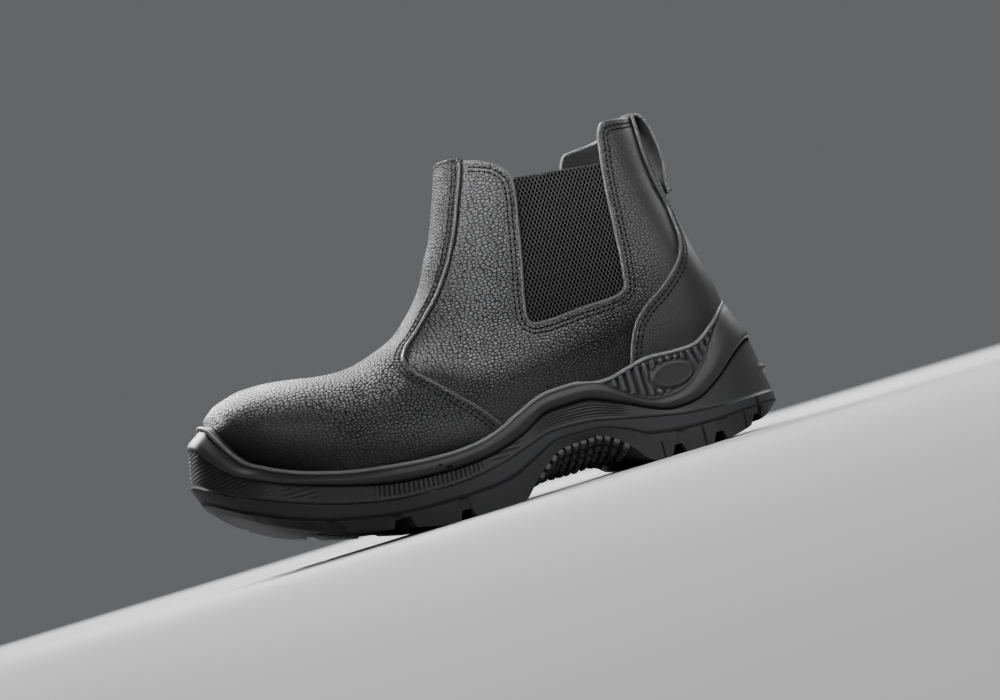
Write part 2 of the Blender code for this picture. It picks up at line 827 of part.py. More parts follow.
def make_vamp(parts, cutters):
    """Front overlay: toe, instep and the strip up to the collar."""
    vamp = new_object("vamp", last_surface(GAP), parts)
    add_wall(vamp, OVERLAY, outward=True)
    seam = curve_through(VAMP_SEAM, 2)
    rim = rim_edge(VAMP_START, REACH_FRONT, GAP)
    seam = [p for p in seam if rim[0][1] + 1 < p[1] < VAMP_STRIP_TOP]
    front = [(REACH_FRONT, rim[-1][1]), (REACH_FRONT, COLLAR_HEIGHT)]
    add_boolean(vamp, "INTERSECT", prism("vamp_outline", seam + rim + front + list(VAMP_TOP), cutters))
    return vamp


def make_heel_counter(parts, cutters):
    """Heel overlay: bell shape round the heel with a strip up the back."""
    counter = new_object("heel_counter", last_surface(GAP), parts)
    add_wall(counter, OVERLAY, outward=True)
    rim = rim_edge(REACH_BACK, COUNTER_SEAM["x"][-1], GAP)
    seam = [p for p in curve_through(COUNTER_SEAM, 2) if rim[-1][1] + 1 < p[1] < COUNTER_TOP]
    top = [(REACH_BACK, COUNTER_TOP), (COUNTER_SEAM["x"][0], COUNTER_TOP)]
    outline = seam + rim[::-1] + [(REACH_BACK, rim[0][1])] + top
    add_boolean(counter, "INTERSECT", prism("counter_outline", outline, cutters))
    return counter


def make_gore(name, low, high, parts, cutters):
    """Elastic panel behind one cut-out."""
    gore = new_object(name, last_surface(-LEATHER - GORE_GAP), parts)
    add_wall(gore, ELASTIC, outward=False)
    edge = list(zip(GORE_EDGE["x"], GORE_EDGE["z"]))
    add_boolean(gore, "INTERSECT", prism(name + "_outline", edge, cutters, low, high))
    return gore


def make_pull_loop(parts):
    """Tape over the collar's back edge, bowed out and sewn down below."""
    back = smooth(BACK["z"][HEEL_CORNER::-1], BACK["x"][HEEL_CORNER::-1], PULL_LOOP["z"])
    middle = np.array(LOOP_OVER_TOP + tuple(zip(back - PULL_LOOP["behind"], PULL_LOOP["z"])))
    along = np.gradient(middle, axis=0)
    along /= np.linalg.norm(along, axis=1)[:, None]
    normal = np.column_stack([-along[:, 1], along[:, 0]]) * TAPE / 2
    outline = np.concatenate([middle + normal, (middle - normal)[::-1]])
    bm = bmesh.new()
    across = TAPE_WIDTH / 2
    face = bm.faces.new([bm.verts.new(metres((x, -across, z))) for x, z in outline])
    grown = bmesh.ops.extrude_face_region(bm, geom=[face])["geom"]
    moved = [item for item in grown if isinstance(item, bmesh.types.BMVert)]
    bmesh.ops.translate(bm, verts=moved, vec=metres((0, TAPE_WIDTH, 0)))
    return new_object("pull_loop", bm, parts)


def seat_height(x):
    """Height of the last's lower edge along the boot."""
    foot = last_rays()[COLLAR_RAYS - 1:]
    return np.interp(x, [ray[0][-1] for ray in foot], [ray[1][-1] for ray in foot])


def half_width(x, z, side):
    """Half-width of the upper's outside at side-view points."""
    angle = np.arctan2(PIVOT_Z - z, np.maximum(PIVOT_X - x, 0))
    reach = np.hypot(PIVOT_Z - z, PIVOT_X - x)
    front = smooth(TOE_FRONT["z"], TOE_FRONT["x"], z)
    share = np.clip((x - PIVOT_X) / (front - PIVOT_X), 0, 1)
    fan = fan_half_width(angle, reach, side)
    return np.where(x < PIVOT_X, fan, toe_half_width(share, z, side))


def make_insole(parts):
    """Footbed on the floor of the cup, inside the leather."""
    share = sole_shares()
    start = FEATHER["x"][0]
    length = smooth(TOE_FRONT["z"], TOE_FRONT["x"], TOE_BOX["low"][-1]) - start
    x = start + share * length
    own_x = start + INSOLE_INSET + share * (length - 2 * INSOLE_INSET)
    loops = []
    for lift in (INSOLE_LIFT, INSOLE_LIFT + INSOLE):
        height = seat_height(own_x) + lift
        sides = []
        for side, sign in (("lateral", 1), ("medial", -1)):
            wide = half_width(x, seat_height(x), side) * INSOLE_SHARE
            sides.append(np.column_stack([own_x, swing(x) + sign * wide, height]))
        loops.append(np.concatenate([sides[0], sides[1][-2:0:-1]]))
    return new_object("insole", loft(loops), parts)


def add_material(obj):
    """Principled material in the part's own colour."""
    colour, roughness = COLOURS[obj.name]
    material = bpy.data.materials.new(obj.name)
    material.use_nodes = True
    shader = material.node_tree.nodes["Principled BSDF"]
    shader.inputs["Base Color"].default_value = (*colour, 1.0)
    shader.inputs["Roughness"].default_value = roughness
    shader.inputs["Metallic"].default_value = 0.0
    obj.data.materials.append(material)


def main():
    """Build the boot and stand it over the origin."""
    for obj in list(bpy.data.objects):
        bpy.data.objects.remove(obj, do_unlink=True)
    parts = bpy.data.collections.new("safety_boot")
    cutters = bpy.data.collections.new("cutters")
    for group in (parts, cutters):
        bpy.context.scene.collection.children.link(group)

    pieces = [
        make_outsole(parts, cutters),
        make_midsole(parts, cutters),
        make_upper(parts, cutters),
        make_vamp(parts, cutters),
        make_heel_counter(parts, cutters),
        make_gore("gore_lateral", 0.0, SIDE_REACH, parts, cutters),
        make_gore("gore_medial", -SIDE_REACH, 0.0, parts, cutters),
        make_pull_loop(parts),
        make_insole(parts),
    ]

    outline = metres(side_rings(OUTSOLE_RINGS)[2])
    widest = metres(side_rings(OUTSOLE_RINGS)[0])
    loops = np.concatenate([outline, widest])
    middle = (loops.min(axis=0) + loops.max(axis=0)) / 2
    stand = bpy.data.objects.new("boot_frame", None)
    parts.objects.link(stand)
    stand.location = (-middle[0], -middle[1], 0.0)
    for obj in pieces:
        add_material(obj)
        obj.data.shade_smooth()
        obj.parent = stand
    for obj in cutters.objects:
        obj.parent = stand


main()
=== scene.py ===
"""Looks of a slip-on safety boot for the left foot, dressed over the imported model.

Tables are in millimetres, measured from the back of the heel, the boot's axis and the floor.
"""

import math

import bmesh
import bpy
import numpy as np
from mathutils import Matrix, Vector

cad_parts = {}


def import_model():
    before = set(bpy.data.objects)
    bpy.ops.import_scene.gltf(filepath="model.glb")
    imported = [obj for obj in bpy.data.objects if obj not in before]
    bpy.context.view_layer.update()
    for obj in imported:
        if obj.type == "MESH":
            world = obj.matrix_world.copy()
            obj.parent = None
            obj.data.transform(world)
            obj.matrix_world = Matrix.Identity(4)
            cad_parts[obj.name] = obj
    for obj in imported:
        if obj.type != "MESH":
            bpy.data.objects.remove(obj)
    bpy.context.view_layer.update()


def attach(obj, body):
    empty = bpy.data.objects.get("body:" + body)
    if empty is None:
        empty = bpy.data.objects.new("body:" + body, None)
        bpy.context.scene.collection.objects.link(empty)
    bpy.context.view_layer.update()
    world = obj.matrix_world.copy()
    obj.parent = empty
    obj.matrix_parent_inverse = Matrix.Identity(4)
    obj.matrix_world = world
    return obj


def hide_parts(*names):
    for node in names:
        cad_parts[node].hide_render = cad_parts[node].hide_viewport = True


MM = 0.001
BODY = "root"

# Sizes shared with the solids
LENGTH = 301.7
HEEL_TO_ORIGIN = 150.85
COLLAR_HEIGHT = 177.3
HEEL_SEAT = 31.0
BALL_SEAT = 22.5
LEATHER = 2.0
OVERLAY = 1.2
GAP = 0.3
GORE_GAP = 0.5
ELASTIC = 1.6
TAPE = 1.6
TAPE_WIDTH = 22.0
INSOLE = 3.5
INSOLE_LIFT = 0.5
INSOLE_INSET = 11.0
INSOLE_SHARE = 0.86
INSOLE_LEVELS = ((0, 1), (0.75, 1), (1, 0.985), (1, 0.9))
INSOLE_ROUND = 60
PIVOT_X = 232.0
PIVOT_Z = 180.0
TOE_SWING = 6.0
SWING_START = 140.0
SWING_LENGTH = 145.0
TOE_ROUND = 47.0
TOE_POWER = 2.3
TOE_TUCK_ROOM = 24.5
HEEL_ROUND = 44.0
BUMPER_ROUND = 50.0

# Sides with their signs, corners of a square, and the reach of outlines that run on past the boot
SIDES = (("lateral", 1), ("medial", -1))
CORNERS = ((-1, -1), (1, -1), (1, 1), (-1, 1))
FAR = 260.0

# Mesh density, steps of a search and welding distances
COLLAR_RAYS = 80
FOOT_RAYS = 100
TOE_RAYS = 44
RAY_POINTS = 80
SOLE_STATIONS = 460
TREAD_STATIONS = 260
OUTLINE_STEPS = 4000
SEARCH_STEPS = 24
STITCH_SIDES = 6
EDGE_SIDES = 8
HOLE_SIDES = 8
TAPE_CORNER = 7
LOOP_POINTS = 90
LOOSE_POINTS = 9
WELD = 0.02
SLIVER = 0.002


def columns(names, *rows):
    """Table with named columns."""
    return dict(zip(names.split(), np.array(rows, float).T))


# Centre line over the instep, collar front to ball
RIDGE = columns(
    "x z",
    (136.3, 180.0), (140.1, 167.0), (145.2, 154.0), (155.3, 132.8), (165.5, 114.9), (175.6, 103.8),
    (186.0, 95.5), (196.0, 91.4), (211.0, 87.2), (232.0, 87.8),
)

# Centre line down the back, carried on below the last as a virtual bottom
BACK = columns(
    "x z",
    (31.7, 180.0), (27.4, 134.7), (21.5, 101.4), (15.1, 71.1), (14.6, 58.0), (15.0, 44.0),
    (17.5, HEEL_SEAT), (22.0, 18.0), (31.0, 8.0), (50.0, 4.0), (104.0, 4.0), (143.0, 2.0),
    (175.0, 0.0), (204.0, -2.0), (232.0, 0.0),
)
HEEL_CORNER = 6

# Lower edge of the upper, heel to ball
FEATHER = columns(
    "x z",
    (17.5, HEEL_SEAT), (60.0, HEEL_SEAT), (104.0, 29.0), (143.0, 26.0), (175.0, 23.5),
    (204.0, BALL_SEAT), (232.0, 24.5),
)

# Toe box: share of the way from ball to toe front, height of the top and of the lower edge
TOE_BOX = columns(
    "share top low",
    (0.00, 87.8, 24.5), (0.25, 89.9, 27.5), (0.53, 91.0, 32.5), (0.80, 89.3, 38.5),
    (0.945, 85.6, 41.8), (1.00, 82.0, 43.0),
)

# Front of the toe by height
TOE_FRONT = columns(
    "z x",
    (20.0, 270.0), (43.0, 281.5), (52.0, 285.5), (62.0, 287.6), (72.0, 287.8), (80.0, 286.5),
    (92.0, 282.0),
)

# Sections of the last. Station 0 to 1 is the fan from collar to ball, 1 to 2 the toe.
SECTIONS = columns(
    "station lateral_top medial_top lateral_low medial_low crown tuck power",
    (0.00, 36.0, 36.0, 36.0, 36.0, 36.0, 34.0, 2.0),
    (0.15, 36.5, 36.5, 36.0, 36.0, 38.0, 34.0, 2.0),
    (0.28, 37.5, 37.5, 36.0, 35.5, 44.0, 35.0, 1.9),
    (0.36, 39.0, 39.0, 36.0, 35.0, 52.0, 37.0, 1.8),
    (0.45, 40.0, 39.5, 37.0, 34.5, 56.0, 40.0, 1.8),
    (0.56, 41.0, 39.5, 39.0, 34.0, 58.0, 40.0, 1.8),
    (0.67, 43.0, 41.0, 43.0, 37.0, 58.0, 40.0, 1.8),
    (0.78, 46.0, 44.0, 48.5, 43.0, 56.0, 40.0, 1.9),
    (0.89, 48.0, 46.5, 52.0, 47.5, 54.0, 40.0, 2.0),
    (1.00, 46.5, 46.5, 51.0, 48.0, 50.0, 40.0, 2.1),
    (1.50, 43.0, 44.0, 46.0, 46.0, 42.0, 38.0, 2.2),
    (2.00, 40.0, 41.0, 42.0, 43.0, 36.0, 36.0, 2.2),
)

# Sole seen from above: half-widths from the swung axis, by share of the length
SOLE_OUTLINE = columns(
    "share lateral medial",
    (0.00, 41.0, 41.0), (0.18, 41.5, 41.5), (0.30, 42.5, 41.8), (0.42, 45.0, 42.0),
    (0.53, 50.5, 45.5), (0.64, 55.7, 50.0), (0.72, 56.5, 50.5), (0.82, 53.0, 48.5),
    (1.00, 48.0, 46.0),
)

# Heights of the lines along the sole's side, by share of each line's own length
SOLE_LINES = columns(
    "share ground step joint groove band rim",
    (0.00, 9.0, 12.5, 17.0, 48.6, 67.4, 69.0),
    (0.005, 8.6, 12.4, 17.0, 48.5, 66.9, 68.5),
    (0.015, 7.7, 12.2, 16.9, 48.2, 65.7, 67.2),
    (0.03, 6.5, 12.0, 16.8, 47.7, 64.2, 65.5),
    (0.07, 4.0, 11.8, 16.5, 42.5, 56.0, 58.0),
    (0.12, 1.0, 11.0, 16.4, 32.0, 39.5, 50.1),
    (0.16, 0.0, 10.6, 17.0, 25.2, 31.4, 49.2),
    (0.21, 0.0, 11.0, 18.2, 23.2, 28.9, 49.8),
    (0.26, 0.0, 12.5, 21.0, 27.5, 33.2, 47.4),
    (0.285, 2.0, 14.0, 22.5, 31.0, 38.0, 45.6),
    (0.31, 10.0, 18.0, 24.0, 34.3, 43.2, 44.7),
    (0.37, 20.3, 23.5, 27.6, 39.8, 46.8, 48.1),
    (0.43, 19.5, 23.8, 28.4, 39.3, 45.8, 47.1),
    (0.49, 9.4, 17.5, 24.3, 31.6, 39.7, 41.0),
    (0.53, 0.0, 12.5, 20.8, 28.0, 35.0, 36.3),
    (0.63, 0.0, 10.2, 17.0, 25.2, 30.9, 32.2),
    (0.655, 0.0, 10.2, 17.1, 25.4, 31.1, 32.4),
    (0.72, 3.6, 11.0, 18.2, 27.2, 32.7, 34.0),
    (0.82, 10.0, 16.5, 25.2, 34.7, 37.6, 38.9),
    (0.90, 18.5, 24.5, 34.0, 43.2, 44.8, 46.4),
    (0.933, 23.5, 29.4, 38.7, 48.2, 50.0, 51.4),
    (0.959, 28.0, 33.7, 42.7, 53.4, 55.4, 57.0),
    (0.976, 31.2, 37.2, 46.2, 59.6, 63.0, 64.9),
    (0.988, 33.6, 40.0, 49.0, 65.6, 70.4, 72.6),
    (0.995, 35.0, 41.8, 51.0, 70.2, 75.4, 77.8),
    (1.00, 36.0, 43.0, 52.3, 72.0, 77.6, 79.9),
)

# Rings of the midsole's side, floor side first, each with the mesh rows up to the next ring
MIDSOLE_RINGS = (
    # back, front, stand-out, line, raise, rows
    (0.0, 301.7, 0.0, "joint", GAP, 3),
    (0.4, 301.2, -1.6, "joint", 1.4, 36),
    (4.6, 297.6, -2.2, "groove", -0.9, 4),
    (3.4, 298.8, -0.4, "groove", 0.0, 5),
    (7.4, 296.0, 0.4, "between", 0.0, 5),
    (11.2, 291.6, -0.9, "band", 0.0, 3),
    (12.2, 290.6, -2.5, "band", 0.7, 24),
    (12.8, 289.4, -2.9, "rim", 0.0, 3),
)
RECESS = 1
LIP = 3
LENS = 6
PROFILE_SOFTEN = 2

# Patterns on the midsole's side: zones along the boot, each as start, full, fading and end
UPRIGHT_RIBS = (168, 174, 222, 228)
FRONT_DOTS = (250, 254, 264, 268)
BACK_DOTS = (146, 152, 164, 170)
WAIST_LINES = (88, 96, 136, 146)
LENS_TEETH = (22, 28, 93, 97)
TOE_RIBS = (268, 280)
TOE_LIP = (215, 240)
LEDGE_END = (3, 14)
TEETH_UPRIGHT = (50, 62)
RIB_PITCH = 2.4
TOE_RIB_PITCH = 1.9
TOE_RIB_SLOPE = 0.1
WAIST_LINE_COUNT = 6.5
TOOTH_PITCH = 4.5
TOOTH_SHIFT = 0.79
TOOTH_LEAN = 0.26

# The same by share of the way up the side, and each pattern's depth with the share of it that is sunk
BAND_ROWS = (0.05, 0.16, 0.86, 0.97)
LENS_ROWS = (0.03, 0.09, 0.93, 0.98)
LIP_ROWS = (0.88, 0.96)
UPRIGHT_DEPTH = (1.3, 0.6)
DOT_DEPTH = (0.6, 0.4)
TOE_DEPTH = (0.75, 0.5)
WAIST_DEPTH = (0.6, 0.5)
TOOTH_DEPTH = (1.7, 0.25)

# Two small moulding pits in the rim, drawn only as painted shade in the sole's colour, each as its middle
# and its half sizes
RIM_PITS = (
    ((192.6, 57.0, 28.3), (1.0, 14.0, 0.6)),
    ((188.4, 57.0, 26.3), (1.9, 14.0, 0.7)),
)

# Painted light on a leather's colour and gloss about the line where a panel's side turns under: height at
# the boot's middle, rise to the toe, painted shade below it, painted highlight just above it at the back
# and at the front, and painted light on top of the instep and the toe
QUARTER_PAINTED_LIGHT = (65.5, 0.5, 0.3, 0.65, 1.7, 1.0, 1.0)
VAMP_PAINTED_LIGHT = (32.0, 0.3, 0.5, 1.0, 1.1, 0.5, 1.5)
COUNTER_PAINTED_LIGHT = (50.0, 0.0, 0.7, 1.0, 1.0, 1.0, 1.0)
NO_PAINTED_LIGHT = (0.0, 0.0, 1.0, 1.0, 1.0, 1.0, 1.0)
TURN_HEEL_RISE = 0.14

# Zones of painted light and of grain on the leather, from the frame's origin; the first two from the turn's
# height
BELOW_TURN = (-8, 3)
ABOVE_TURN = (3, 22)
TURN_BACK_TO_FRONT = (-75, -15)
TOP_PAINTED_LIGHT = (68, 85)
INSTEP_PAINTED_LIGHT = (-5, 20)
TOE_PAINTED_LIGHT = (66, 92)
PULLED_TOE = (75, 125)
PULLED_SIDE = (83, 70)
SMOOTH_BACK = (-102, -82)
STREAKED_TOE = (118, 98)
FACING_BLEND = 0.08
PEBBLE_WARP = 1.4
PEBBLE_STRETCH = (0.75, 0.9, 1.0)
PEBBLE_RANDOM = 0.85
STREAK_SCALE = (360.0, 360.0, 60.0)

# Knitted elastic: pitches, lean, upper edge and its slope, plain edge band, and the heights over which
# painted shade at the bottom gives way upwards
KNIT_ACROSS = 2.05
KNIT_ALONG = 3.8
KNIT_LEAN = 0.12
KNIT_TOP = 158.75
KNIT_TOP_SLOPE = 0.0778
SELVAGE = 1.3
KNIT_LIT = (80, 150)

# Painted highlight along the tape's edges: its distance from the middle and its width
TAPE_BORDER = 10.4
CLOTH_BORDER = 0.6

# Leathers: name, pebble size, depth of the grain, roughness, gloss, shade and the painted light about the
# turn
LEATHERS = {
    "upper_leather": ("black_leather", 1.45, 0.00050, 0.44, 0.37, (0.012, 0.012, 0.0125), QUARTER_PAINTED_LIGHT),
    # The vamp's leather is a darker, less glossy copy of the black leather: painted shade on the vamp and
    # the toe
    "vamp_leather": ("vamp_leather", 1.50, 0.00045, 0.50, 0.26, (0.006, 0.006, 0.0062), VAMP_PAINTED_LIGHT),
    "counter_leather": ("smooth_leather", 0.9, 0.00010, 0.44, 0.30, (0.010, 0.010, 0.0105), COUNTER_PAINTED_LIGHT),
    # Edge leather is lighter and glossier than the panels: partly the rolled edges' smooth finish, partly
    # painted highlight
    "edge": ("edge_leather", 0.8, 0.00008, 0.36, 0.34, (0.031, 0.031, 0.032), NO_PAINTED_LIGHT),
}

# Inner wall of the rim, the bead along its top edge, and the kick ledge at the back of the heel
RIM_DEPTH = 6
LEATHER_MIDDLE = (60, 240)
BEAD_RADIUS = 1.1
BEAD_LIFT = 0.5
BEAD_MERGES = (97, 112)
BEAD_OUT = 1.0
BEAD_DROP = 0.8
LEDGE_HEIGHT = 30.0
LEDGE_STAND = 2.3
LEDGE_SOFT = 2.3

# Rings of the outsole's side, top first
OUTSOLE_RINGS = (
    # back, front, stand-out, line, raise, rows
    (0.0, 301.7, 0.0, "joint", 0.0, 4),
    (0.2, 298.4, -0.5, "step", 0.5, 2),
    (0.0, 298.0, 0.3, "step", -0.5, 5),
    (5.0, 292.5, -1.2, "ground", 0.0, 1),
)
UNDERSIDE_SHRINK = (0.86, 0.72, 0.55, 0.4, 0.25, 0.12)
UNDERSIDE_INSET = 46.0
ARCH_BULGE = 14.0
ARCH_START = 0.29
ARCH_END = 0.50
ARCH_POWER = 0.8
CORE_SHRINK = 0.8
CORE_DEPTH = 5.0

# Grooves between the side lugs: place at the sole's edge, width and height
LUG_GROOVES = columns(
    "x width height",
    (246.0, 4.0, 5.0), (218.0, 6.0, 5.5), (187.5, 4.0, 4.5), (69.5, 4.5, 5.0), (46.5, 4.5, 5.0),
    (22.0, 4.0, 4.5),
)
GROOVE_INNER = 15.0
GROOVE_LENGTH = 62.0
GROOVE_SLANT = math.radians(12)
GROOVE_REACH = 12.0
GROOVE_TAPER = 2.2
LONG_GROOVES = columns(
    "start end aside",
    (166.0, 256.0, 15.0), (166.0, 256.0, -15.0), (28.0, 84.0, 0.0),
)
LONG_GROOVE_WIDTH = 4.5
LONG_GROOVE_HEIGHT = 5.0
LONG_GROOVE_STEPS = 12

# Side lugs: the gaps between them, sunk into the outsole's side up to the step line
LUG_GAPS = columns(
    "x width",
    (278.0, 3.0), (249.0, 4.5), (219.5, 5.5), (186.5, 5.0), (67.5, 5.0), (44.5, 5.0), (22.0, 2.0),
)
LUG_SINK = 1.3
LUG_EDGE = (0.5, 0.7)
LUG_RISE = (1.2, 1.8)
# Rows along the step line that get a line of painted shade, and how dark it is
STEP_ROWS = (0.9, 1.6)
STEP_SHADE = -0.7
TREAD_SHARP = math.radians(35)

# Thin upright splits in the heel's lugs, drawn only as lines of painted shade: place along the boot, half
# width, top
LUG_SPLITS = (
    (79.2, 0.3, 8.0),
    (56.3, 0.3, 9.5),
    (32.3, 0.3, 11.0),
    (21.4, 0.7, 16.0),
)

# Small studs under the arch
STUD_START = 96.0
STUD_END = 150.0
STUD_PITCH = 4.6
STUD_STEP = 0.004
STUD_SHARP = math.radians(25)
STUD_ROWS = (0.95, 0.80, 0.65, 0.50, 0.35)
STUD_LEVELS = ((1.5, 2.4, -0.6), (1.45, 2.3, 1.5), (1.0, 1.8, 2.1))

# Bare oval pad in the recess of the heel's side
PAD_X = 62.4
PAD_Z = 38.8
PAD_LONG = 11.6
PAD_HIGH = 6.3
PAD_MARGIN = (1.12, 1.22)

# Upper edge of the leather and the cut-out for the elastic, from the front strip to the back
COLLAR_EDGE = columns(
    "x z",
    (139.0, 175.8), (131.0, 171.4), (125.5, 168.6), (121.3, 166.5), (117.9, 164.3), (115.0, 160.8),
    (112.1, 153.8), (115.8, 132.8), (120.6, 111.5), (125.1, 93.9), (126.3, 86.0), (124.0, 82.0),
    (117.5, 81.2), (99.6, 82.7), (76.0, 84.5), (71.6, 87.2), (70.0, 94.0), (67.2, 118.2),
    (65.3, 139.0), (62.8, 155.5), (60.0, 167.0), (57.4, 170.3), (53.0, 171.1), (44.0, 171.5),
    (30.0, 174.0),
)
COLLAR_FRONT = 180.0

# Elastic panel, which runs on behind the leather
GORE_EDGE = columns(
    "x z",
    (121.5, 156.4), (125.5, 133.0), (129.5, 112.0), (133.0, 93.0), (133.0, 82.0), (127.0, 76.0),
    (116.5, 74.7), (96.7, 75.6), (76.0, 77.2), (67.0, 80.0), (62.3, 88.0), (60.0, 125.0),
    (57.2, 151.4),
)

# Rear edge of the front overlay, collar to sole
VAMP_SEAM = columns(
    "x z",
    (130.2, 176.0), (131.6, 169.0), (137.4, 153.5), (145.4, 134.0), (153.0, 120.5), (160.8, 109.7),
    (169.0, 101.4), (177.5, 93.4), (184.8, 87.2), (188.2, 81.8), (187.6, 76.0), (181.5, 68.4),
    (172.0, 57.4), (162.8, 47.2), (153.0, 33.5),
)
VAMP_REST = (
    (154.0, -FAR), (320.0, -FAR), (320.0, COLLAR_HEIGHT), (150.0, COLLAR_HEIGHT), (138.5, COLLAR_HEIGHT),
    (129.0, 172.6),
)

# Front edge of the heel overlay, collar to sole
COUNTER_SEAM = columns(
    "x z",
    (36.5, 178.0), (37.8, 152.0), (36.2, 134.0), (33.6, 121.0), (33.6, 110.0), (35.4, 102.0),
    (39.4, 95.0), (45.5, 88.5), (54.0, 81.8), (65.0, 75.0), (71.8, 69.0), (77.5, 59.5),
    (82.5, 46.0),
)
COUNTER_TOP = 174.4
COUNTER_REST = ((84.0, -FAR), (-FAR, -FAR), (-FAR, COUNTER_TOP), (36.0, COUNTER_TOP))

# Pull loop: height, and distance of the tape's middle behind the back line
PULL_LOOP = columns(
    "z behind",
    (172.4, 5.4), (168.0, 6.6), (161.0, 7.4), (153.0, 7.5), (146.0, 6.6), (140.0, 4.6),
    (136.5, 3.5), (131.5, 3.1),
)
LOOP_OVER_TOP = ((36.5, 175.8), (30.8, 175.8), (27.6, 175.0))

# Soft creases in the leather: side-view ends, depth and half-width
CREASES = columns(
    "x1 z1 x2 z2 depth width",
    (158.0, 101.0, 147.0, 92.0, 0.55, 2.6),
    (150.0, 103.0, 140.0, 95.5, 0.45, 2.4),
    (166.0, 93.0, 152.0, 84.0, 0.35, 3.0),
    (196.0, 80.0, 206.0, 66.0, 0.40, 4.0),
    (206.0, 82.0, 216.0, 68.0, 0.35, 4.0),
    (178.0, 99.0, 190.0, 90.0, 0.35, 3.5),
)
CREASE_ENDS = (-0.25, 0.25, 0.75, 1.25)
CREASE_SWELL = 0.6
CREASE_CLEAR = 4

# Edges and stitching
EDGE_RADIUS = 1.0
EDGE_PROUD = 0.55
CHANNEL_DEPTH = 0.15
CHANNEL = (0.7, 1.5, 5.2, 6.4)
LASTED_FOLD = (3, 22)
STITCH_PITCH = 2.9
VAMP_CUT = 171.0
VAMP_SEWN = 172.0
COLLAR_ROLLED = 131.0
COLLAR_SEWN = (36, 128)
COLLAR_SWELL = 0.15
SEAM_END = 0.5
TUCKED_UNDER = 3
STITCH_LENGTH = 2.0
STITCH_RADIUS = 0.45
LOOSE_END = ((24.0, 0.0, 133.2), (20.6, 0.5, 133.2), (17.9, 0.0, 133.9))
STITCH_ROWS = (2.3, 4.5)
HOLE_LONG = 0.62
HOLE_WIDE = 0.54
HOLE_LIFT = 0.14

# Camera, in boot sizes: turn towards the toe, distance, height, aim and roll
CAMERA_TURN = math.radians(14.57)
CAMERA_DISTANCE = 961.7
CAMERA_HEIGHT = 12.0
CAMERA_AIM = (133.3, 0.0, 76.7)
CAMERA_ROLL = math.radians(-16.8)
CAMERA_LENS = 68.4


def smooth(stations, values, at):
    """Cubic through a table's points that never swings past a row."""
    rise = np.diff(values) / np.diff(stations)
    slope = np.gradient(values, stations)
    limit = 3 * np.minimum(abs(rise[:-1]), abs(rise[1:]))
    turns = rise[:-1] * rise[1:] <= 0
    slope[1:-1] = np.where(turns, 0, np.clip(slope[1:-1], -limit, limit))
    at = np.clip(at, stations[0], stations[-1])
    row = np.clip(np.searchsorted(stations, at, side="right") - 1, 0, len(stations) - 2)
    step = stations[row + 1] - stations[row]
    t = (at - stations[row]) / step
    start = (1 - t) ** 2 * ((1 + 2 * t) * values[row] + t * step * slope[row])
    end = t ** 2 * ((3 - 2 * t) * values[row + 1] + (t - 1) * step * slope[row + 1])
    return start + end


def crown(depth, size, power):
    """Rounded edge: nothing at the edge, full width once size deep."""
    t = np.clip(depth / size, 0, 1)
    return (1 - (1 - t) ** power) ** (1 / power)


def ramp(value, low, high):
    """Smooth step from 0 at low to 1 at high."""
    t = np.clip((value - low) / (high - low), 0, 1)
    return t * t * (3 - 2 * t)


def between(value, start, full, fading, end):
    """Smooth step up from start to full and down again from fading to end."""
    return ramp(value, start, full) * (1 - ramp(value, fading, end))


def swing(x):
    """Sideways bend of the boot's axis towards the inner side at the toe."""
    return -TOE_SWING * ramp(x, SWING_START, SWING_START + SWING_LENGTH)


def toe_front(z):
    """Place of the toe's front at a height."""
    return smooth(TOE_FRONT["z"], TOE_FRONT["x"], z)


def toe_box(name, share):
    """Height of the toe box's top or lower edge."""
    return smooth(TOE_BOX["share"], TOE_BOX[name], share)


def polar(table):
    """Angle and reach of a profile's points from the fan's pivot."""
    angle = np.arctan2(PIVOT_Z - table["z"], PIVOT_X - table["x"])
    reach = np.hypot(PIVOT_Z - table["z"], PIVOT_X - table["x"])
    return angle, reach


def section(name, station):
    """One column of the section table at a station."""
    return smooth(SECTIONS["station"], SECTIONS[name], station)


def side_of(station, depth, room, side):
    """Half-width of a section, at a depth below the ridge and a room above the far end."""
    q = depth / (depth + room)
    top = section(side + "_top", station)
    low = section(side + "_low", station)
    ridge_round = crown(depth, section("crown", station), section("power", station))
    return (top + (low - top) * q) * ridge_round * crown(room, section("tuck", station), 2.0)


def fan_half_width(angle, reach, side):
    """Half-width of the upper between collar and ball."""
    depth = reach - smooth(*polar(RIDGE), angle)
    room = smooth(*polar(BACK), angle) - reach
    return side_of(angle / (math.pi / 2), np.maximum(depth, 0), np.maximum(room, 0), side)


def toe_half_width(share, z, side):
    """Half-width of the upper between ball and toe front."""
    depth = np.maximum(toe_box("top", share) - z, 0)
    room = np.maximum(z - toe_box("low", share) + TOE_TUCK_ROOM, 0)
    wide = side_of(1 + share, depth, room, side)
    return wide * crown((1 - share) * (toe_front(z) - PIVOT_X), TOE_ROUND, TOE_POWER)


def half_width(x, z, side):
    """Half-width of the upper's outside at side-view points."""
    angle = np.arctan2(PIVOT_Z - z, np.maximum(PIVOT_X - x, 0))
    reach = np.hypot(PIVOT_Z - z, PIVOT_X - x)
    share = np.clip((x - PIVOT_X) / (toe_front(z) - PIVOT_X), 0, 1)
    fan = fan_half_width(angle, reach, side)
    return np.where(x < PIVOT_X, fan, toe_half_width(share, z, side))


def side_width(x, y, z):
    """Half-width of the upper on the side where points lie."""
    return np.where(y > swing(x), half_width(x, z, "lateral"), half_width(x, z, "medial"))


def world(points):
    """Boot millimetres to the frame's metres."""
    return (np.asarray(points, float) - (HEEL_TO_ORIGIN, 0, 0)) * MM


def unit(vectors):
    """Vectors of length one."""
    return vectors / np.maximum(np.linalg.norm(vectors, axis=-1, keepdims=True), 1e-9)


